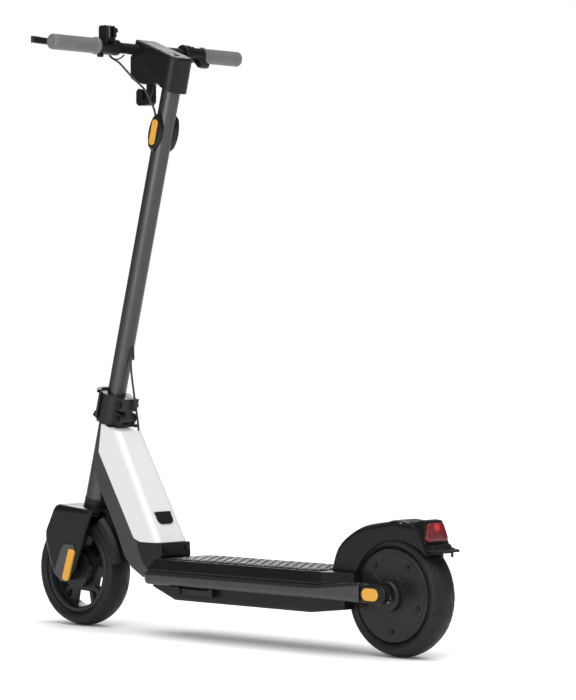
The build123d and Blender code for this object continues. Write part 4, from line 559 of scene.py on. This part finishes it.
# ---- Tyres ---------------------------------------------------------------
# Millimetres from the wheel's axle and from its middle plane.
TYRE = {"bead_r": 84.0, "bead_w": 19.8, "lip": 5.0, "crown_r": 116.0, "half": 30.0}
RIM_LINE_R = 86.5                             # the bead stays straight out to here
SHOULDER_R = TYRE["crown_r"] - 5.5
SHOULDER_W = 0.72 * TYRE["half"]
SKIN_FROM = 97.0                              # radius outside which grooves may be cut
SKIN_THICK = 2.0                              # the tyre is a hollow shell of this thickness
INSIDE_WIDTH = 0.72                           # width of the shell's inside against its outside
SIDE_STEPS, CROWN_STEPS = 14, 44
GROOVE_EDGE = 0.5                             # mm over which a groove's wall slopes
SHOULDER_FALL = 0.9                           # mm a groove runs on for each mm the tread falls
SWEEP_REACH = 40.0                            # mm from the crown where its sweep ends


def tyre_outline():
    """Outer outline of the tyre, from bead to bead over the crown."""
    bead = (TYRE["bead_r"], TYRE["bead_w"])
    edge = (TYRE["bead_r"] + TYRE["lip"], TYRE["bead_w"])
    shoulder = (SHOULDER_R, SHOULDER_W)
    waist = ((edge[0] + SHOULDER_R) / 2, TYRE["half"])
    half = [bead, (RIM_LINE_R, TYRE["bead_w"]), edge] + arc(edge, waist, shoulder, SIDE_STEPS)
    crown = arc(shoulder, (TYRE["crown_r"], 0.0), (SHOULDER_R, -SHOULDER_W), CROWN_STEPS)
    return half + crown + [(r, -w) for r, w in reversed(half[:-1])]


def tread(piece_name, node, hub, body, pattern, sizes):
    """A tyre with grooves sunk into its outer skin where the pattern says."""
    outer = tyre_outline()
    inner = [(r - SKIN_THICK, w * INSIDE_WIDTH) for r, w in reversed(outer)]
    outline = np.array(outer + inner)
    radii, widths = outline[:, 0], outline[:, 1]
    skin = np.where((np.arange(len(outline)) < len(outer)) & (radii > SKIN_FROM), 1.0, 0.0)
    depth = sizes.groove / MM

    def sunk(angle):
        return skin * depth * pattern(angle * TYRE["crown_r"], widths, radii)

    points = ring(outline, sizes.steps, sunk) * MM + np.array(hub)
    faces = grid_faces(sizes.steps, len(outline), True, True)
    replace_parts(mesh_piece(piece_name, points, faces, "tyre", body, smooth=50), node)


def even_pitch(sizes):
    """The pitch in millimetres, nearest to the user's, that goes evenly round the tyre."""
    girth = 2 * math.pi * TYRE["crown_r"]
    return girth / round(girth * MM / sizes.pitch)


def groove(distance, width):
    """1 inside a groove of this width, falling to 0 at its edges."""
    inside = width / 2 + GROOVE_EDGE - np.abs(distance)
    return np.clip(inside / GROOVE_EDGE, 0.0, 1.0)


def reach_of(width, radius):
    """Distance from the middle of the tread, over the shoulder, in millimetres."""
    return np.abs(width) + np.clip(TYRE["crown_r"] - radius, 0, 30) * SHOULDER_FALL


def swept(along, width, reach, pitch, sweep, shift=0.0):
    """Distance round the tyre from the nearest of the grooves that sweep back from the crown.

    The two halves of the tread are half a pitch apart."""
    lag = sweep * np.sin(np.clip(reach / SWEEP_REACH, 0, 1) * math.pi / 2)
    offset = np.where(width > 0, 0.0, pitch / 2)
    return (along + lag + offset + shift) % pitch - pitch / 2


class SCOOTER_OT_rear_tyre(bpy.types.Operator):
    """Make the rear tyre, with long curved grooves that sweep back from its crown"""
    bl_idname = "scooter.rear_tyre"
    bl_label = "Rear tyre"

    def execute(self, context):
        sizes = context.scene.scooter_tyres
        pitch = even_pitch(sizes)

        def pattern(along, width, radius):
            reach = reach_of(width, radius)
            long = groove(swept(along, width, reach, pitch, 58), 2.2) * (reach > 4) * (reach < 38)
            between = swept(along, width, reach, pitch, 50, pitch / 2)
            short = groove(between, 1.4) * (reach > 16) * (reach < 34)
            return np.maximum(long, 0.7 * short)

        tread("rear_tyre_tread", "rear_tyre", REAR_HUB, "rear_wheel", pattern, sizes)
        return {"FINISHED"}


class SCOOTER_OT_front_tyre(bpy.types.Operator):
    """Make the front tyre, with shallower curved grooves and a fine line round each shoulder"""
    bl_idname = "scooter.front_tyre"
    bl_label = "Front tyre"

    def execute(self, context):
        sizes = context.scene.scooter_tyres
        pitch = even_pitch(sizes)

        def pattern(along, width, radius):
            reach = reach_of(width, radius)
            bars = groove(swept(along, width, reach, pitch, 52), 1.6) * (reach > 5) * (reach < 30)
            line = groove(reach - 36, 0.8)
            return np.maximum(0.6 * bars, 0.5 * line)

        tread("front_tyre_tread", "front_tyre", FRONT_HUB, "front_wheel", pattern, sizes)
        return {"FINISHED"}


# ---- Deck mat ------------------------------------------------------------
MAT_CORNER = 8.0                              # mm, radius of the mat's corners
RIB_ROOT = 0.4                                # mm that a rib stands in the mat
RIB_SLOPE = 0.9                               # mm that a rib's top is in from its foot
BAND_GAP = 1.5                                # mm from each band of ribs to the line between


def rib(near, far, half_width, floor, height):
    """Points and faces of a slanting rib with sloping sides, from one end's middle to the other."""
    along = (far - near).normalized()
    points = []
    for inset, rise in ((0.0, -RIB_ROOT), (0.0, height * 0.5), (RIB_SLOPE, height)):
        start, stop, half = near + along * inset, far - along * inset, half_width - inset
        points += [Vector((end.x + side * half, end.y, floor + rise))
                   for end, side in ((start, -1), (start, 1), (stop, 1), (stop, -1))]
    return points, capped_faces(3, 4)


class SCOOTER_OT_deck_mat(bpy.types.Operator):
    """Lay the deck's rubber mat, with two bands of slanting ribs in a raised border"""
    bl_idname = "scooter.deck_mat"
    bl_label = "Deck mat"

    def execute(self, context):
        mat = context.scene.scooter_mat
        pitch, width, height, border = (size / MM for size in (mat.pitch, mat.rib, mat.height,
                                                               mat.border))
        low, high = (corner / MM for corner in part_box("deck_mat"))
        base = high.z - height
        outline = []
        for x, y, turn in ((high.x, high.y, 0), (low.x, high.y, 90), (low.x, low.y, 180),
                           (high.x, low.y, 270)):
            outline += corner_points(x, y, -1 if x == high.x else 1, -1 if y == high.y else 1,
                                     MAT_CORNER, turn)
        centre = (low + high) / 2
        points = []
        for inset, z in ((0.0, low.z), (0.0, base - 0.6), (0.8, base), (5.0, base),
                         (5.6, base - 0.5)):
            for x, y in outline:
                aside = math.copysign(inset, x - centre.x), math.copysign(inset, y - centre.y)
                points.append(Vector((x - aside[0], y - aside[1], z)))
        faces = capped_faces(5, len(outline))
        left, right = high.y - border, low.y + border
        split = right + mat.split * (left - right)
        lean = 1 / math.tan(mat.slant)
        first, last = low.x + border + width / 2, high.x - border - width / 2
        for outer, inner, offset in ((left, split + BAND_GAP, 0.0),
                                     (split - BAND_GAP, right, pitch / 2)):
            run = (outer - inner) * lean
            for row in range(int((last - first + run) / pitch) + 1):
                x = first - run + offset + row * pitch
                near, far = max(first - x, 0.0) / run, min(last - x, run) / run
                if (far - near) * run < width / 2:
                    continue
                ends = [Vector((x + run * part, outer + (inner - outer) * part))
                        for part in (near, far)]
                more, their_faces = rib(*ends, width / 2, base, height)
                faces += [tuple(i + len(points) for i in face) for face in their_faces]
                points += more
        sheet = mesh_piece("deck_mat_ribs", [p * MM for p in points], faces, "mat_rubber",
                           "frame", smooth=30)
        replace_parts(sheet, "deck_mat")
        return {"FINISHED"}


# ---- Tail lamp -----------------------------------------------------------
# Millimetres. The lens is wider at its foot, and its top is ahead of its foot.
LENS = {"foot_half": 29.5, "top_half": 23.2, "corner": 7.5, "lean": 5.0, "foot_up": 2.2,
        "top_down": 2.0}
# Size of each ring against the outline, and its height over the lens's edge.
LENS_RINGS = ((1.0, -7.0), (1.0, -1.6), (0.985, -1.1), (0.95, -0.9), (0.8, -0.5), (0.6, -0.2),
              (0.35, 0.0), (0.1, 0.05))


class SCOOTER_OT_tail_lens(bpy.types.Operator):
    """Mould the tail lamp's lens, with rounded corners and a slightly domed face"""
    bl_idname = "scooter.tail_lens"
    bl_label = "Tail lens"

    def execute(self, context):
        low, high = (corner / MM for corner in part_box("taillight_lens"))
        foot = Vector((low.x, 0, low.z + LENS["foot_up"]))
        top = Vector((low.x + LENS["lean"], 0, high.z - LENS["top_down"]))
        up = (top - foot).normalized()
        out = Vector((-up.z, 0, up.x))
        tall = (top - foot).length
        outline = []
        for across, along, turn in ((LENS["foot_half"], 0.0, -90), (LENS["top_half"], tall, 0),
                                    (-LENS["top_half"], tall, 90),
                                    (-LENS["foot_half"], 0.0, 180)):
            outline += corner_points(across, along, -math.copysign(1, across),
                                     -1 if along else 1, LENS["corner"], turn)
        middle = tall / 2
        points = [foot + Vector((0, y * scale, 0)) + up * (middle + (z - middle) * scale)
                  + out * height for scale, height in LENS_RINGS for y, z in outline]
        faces = capped_faces(len(LENS_RINGS), len(outline))
        lens = mesh_piece("tail_lens", [p * MM for p in points], faces, "red_lens", "frame",
                          smooth=50)
        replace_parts(lens, "taillight_lens")
        return {"FINISHED"}


# ---- Fork shroud ---------------------------------------------------------
SHROUD_VOXEL = 1.5                            # mm, fine enough to keep the shroud's openings
SHROUD_PASSES = 12


class SCOOTER_OT_fork_shroud(bpy.types.Operator):
    """Round the fork shroud over, as a thick moulding is"""
    bl_idname = "scooter.fork_shroud"
    bl_label = "Fork shroud"

    def execute(self, context):
        shell = frame["nodes"]["fork_shroud"]
        remesh = shell.modifiers.new("remesh", "REMESH")
        remesh.mode = "VOXEL"
        remesh.voxel_size = SHROUD_VOXEL * MM
        remesh.use_smooth_shade = True
        smooth = shell.modifiers.new("smooth", "SMOOTH")
        smooth.factor = 0.5
        smooth.iterations = SHROUD_PASSES
        return {"FINISHED"}


# ---- Cables --------------------------------------------------------------
# Millimetres from the middle of the handlebar: ahead, to the left, up.
BRAKE_ROUTE = ((17, 91, -10), (15.5, 90, -17), (0, 85.5, -26), (-4.8, 80, -31.5),
               (-23.6, 62, -61.4), (-35.1, 49, -76.9), (-40, 39, -90), (-41.3, 32, -103.6),
               (-48.7, 24.5, -127.4), (-49, 23.5, -144))
SWITCH_ROUTE = ((14.5, 92, -13.5), (11, 88, -22), (2, 74, -23), (-1.5, 66, -13.2))
HEAD_ROUTE = ((-39.2, 20, -71.4), (-39.5, 22, -84.9), (-40.6, 30, -99.3), (-41.3, 32, -103.6))
CABLE_R = 2.2
OUTLET_UP = 454.0                             # mm up the steering axis to the stem's outlet
SPLIT_UP = 340.0                              # mm up it to where the lower cable is split


class SCOOTER_OT_cables(bpy.types.Operator):
    """Run the brake cable and its wires, and the lower cable from the stem to the neck, in two pieces"""
    bl_idname = "scooter.cables"
    bl_label = "Cables"

    def execute(self, context):
        for name, route, radius in (("brake_cable_run", BRAKE_ROUTE, CABLE_R),
                                    ("switch_wire", SWITCH_ROUTE, 1.5),
                                    ("head_wire", HEAD_ROUTE, 1.8)):
            places = spline_points([bar_point(*point) for point in route])
            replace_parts(tube(name, places, radius * MM, "stem"), "brake_cable")
        neck = FRONT_HUB + Vector((-131, -28, 296)) * MM
        places = spline_points([
            fork_point(-23.8, 0, OUTLET_UP - 0.3), fork_point(-25, 0, OUTLET_UP - 12),
            fork_point(-47.9, -2, OUTLET_UP - 66), fork_point(-52.1, -14, OUTLET_UP - 103),
            neck, neck - Vector((0, 0, 11)) * MM])
        split = min(range(len(places)),
                    key=lambda i: abs((places[i] - FRONT_HUB).dot(STEER) - SPLIT_UP * MM))
        upper = tube("lower_cable_upper", places[:split + 1], CABLE_R * MM)
        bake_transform(upper)
        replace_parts(upper, "lower_cable")
        below = tube("lower_cable_below", places[split:], CABLE_R * MM)
        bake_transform(below)
        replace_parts(below, "lower_cable")
        return {"FINISHED"}


# ---- Finishes and studio -------------------------------------------------
class SCOOTER_OT_finishes(bpy.types.Operator):
    """Give every piece of the frame the finish of its slot"""
    bl_idname = "scooter.finishes"
    bl_label = "Finishes"

    def execute(self, context):
        for node, piece in frame["nodes"].items():
            piece.data.materials.clear()
            piece.data.materials.append(finish(SLOTS[node]))
        return {"FINISHED"}


FLOOR_HALF = 30.0                             # metres, far enough to leave no edge in view
CAMERA_FROM_REAR_HUB = Vector((-3.56394, 4.03656, 0.484))
CAMERA_AIM = Vector((0.69072, -0.72310, -0.00531))
CAMERA_LENS = 148.79                          # mm, on a frame 36 mm high
FRAME_HEIGHT = 36.0
LIGHTS_AIM = Vector((0.05, 0.0, 0.6))
CEILING_AIM = Vector((0.35, -0.12, -1.0))
# Name, place, width and height in metres, and power against the key's.
SOFT_BOXES = (("key", (-1.5, 4.2, 1.3), 2.4, 2.4, 1.0),
              ("fill", (-4.2, -0.4, 1.4), 0.5, 2.4, 0.15),
              ("rim", (2.6, -2.4, 1.8), 1.2, 2.4, 0.35))


def paper_backdrop(colour):
    """Matt paper, calendered: a plain pale floor with fibres 3 mm long in it."""
    paper = bpy.data.materials.new("paper_backdrop")
    paper.use_nodes = True
    tree = paper.node_tree
    tree.nodes.clear()
    place = add(tree, "ShaderNodeTexCoord").outputs["Object"]
    fibre = add(tree, "ShaderNodeTexNoise",
                {"Vector": place, "Scale": per_mm(3), "Detail": 2.0}).outputs["Fac"]
    bump = add(tree, "ShaderNodeBump", {"Height": fibre, "Distance": 0.02 * MM})
    bsdf = add(tree, "ShaderNodeBsdfPrincipled",
               {"Base Color": colour, "Roughness": 0.85, "Normal": bump.outputs["Normal"]})
    add(tree, "ShaderNodeOutputMaterial", {"Surface": bsdf.outputs["BSDF"]})
    return paper


def place_in_scene(name, data, location, aim):
    """A lamp or camera that looks along aim."""
    holder = bpy.data.objects.new(name, data)
    holder.location = location
    holder.rotation_euler = aim.to_track_quat("-Z", "Y").to_euler()
    bpy.context.scene.collection.objects.link(holder)
    return holder


class SCOOTER_OT_studio(bpy.types.Operator):
    """Set up the pale floor, the soft lights and the camera"""
    bl_idname = "scooter.studio"
    bl_label = "Studio"

    def execute(self, context):
        settings = context.scene.scooter_studio
        half = FLOOR_HALF
        mesh = bpy.data.meshes.new("floor")
        mesh.from_pydata([(-half, -half, 0), (half, -half, 0), (half, half, 0), (-half, half, 0)],
                         [], [(0, 1, 2, 3)])
        mesh.materials.append(paper_backdrop(tuple(settings.floor)))
        floor = bpy.data.objects.new("floor", mesh)
        context.scene.collection.objects.link(floor)

        world = bpy.data.worlds.new("studio")
        world.use_nodes = True
        context.scene.world = world
        tree = world.node_tree
        tree.nodes.clear()
        # The backdrop is plain white, and the light that it gives the object is dimmer.
        seen = add(tree, "ShaderNodeLightPath").outputs["Is Camera Ray"]
        strength = add(tree, "ShaderNodeMapRange",
                       {"Value": seen, "To Min": settings.room, "To Max": 1.0})
        backdrop = add(tree, "ShaderNodeBackground",
                       {"Color": (1.0, 1.0, 1.0, 1.0), "Strength": strength.outputs["Result"]})
        add(tree, "ShaderNodeOutputWorld", {"Surface": backdrop.outputs["Background"]})

        sky = bpy.data.lights.new("ceiling", "SUN")
        sky.energy = settings.sky
        sky.angle = math.radians(75)
        place_in_scene("ceiling", sky, (0, 0, 0), CEILING_AIM)
        for name, place, width, height, share in SOFT_BOXES:
            light = bpy.data.lights.new(name, "AREA")
            light.shape = "RECTANGLE"
            light.size, light.size_y = width, height
            light.energy = settings.key * share
            place_in_scene(name, light, place, LIGHTS_AIM - Vector(place))

        camera = bpy.data.cameras.new("camera")
        camera.sensor_fit = "VERTICAL"
        camera.sensor_height = FRAME_HEIGHT
        camera.lens = CAMERA_LENS
        camera.clip_end = 200.0
        context.scene.camera = place_in_scene("camera", camera, REAR_HUB + CAMERA_FROM_REAR_HUB,
                                              CAMERA_AIM)
        # Standard keeps the white floor white.
        context.scene.view_settings.view_transform = "Standard"
        return {"FINISHED"}


class SCOOTER_PT_panel(bpy.types.Panel):
    """The scooter's steps, in the order they run"""
    bl_label = "Kick Scooter"
    bl_idname = "SCOOTER_PT_panel"
    bl_space_type = "VIEW_3D"
    bl_region_type = "UI"
    bl_category = "Kick Scooter"

    def draw(self, context):
        for step in STEPS:
            self.layout.operator(step.bl_idname)


STEPS = (SCOOTER_OT_studio, SCOOTER_OT_finishes, SCOOTER_OT_rear_tyre, SCOOTER_OT_front_tyre,
         SCOOTER_OT_deck_mat, SCOOTER_OT_tail_lens, SCOOTER_OT_fork_shroud, SCOOTER_OT_cables)
GROUPS = {"scooter_tyres": TyreSizes, "scooter_mat": MatSizes, "scooter_colours": FinishColours,
          "scooter_studio": StudioSettings}


def register():
    for group in GROUPS.values():
        bpy.utils.register_class(group)
    for name, group in GROUPS.items():
        setattr(bpy.types.Scene, name, bpy.props.PointerProperty(type=group))
    for step in STEPS:
        bpy.utils.register_class(step)
    bpy.utils.register_class(SCOOTER_PT_panel)


def unregister():
    bpy.utils.unregister_class(SCOOTER_PT_panel)
    for step in reversed(STEPS):
        bpy.utils.unregister_class(step)
    for name, group in GROUPS.items():
        delattr(bpy.types.Scene, name)
        bpy.utils.unregister_class(group)


def main():
    register()
    for step in STEPS:
        area, name = step.bl_idname.split(".")
        getattr(getattr(bpy.ops, area), name)()


if __name__ == "__main__":
    main()
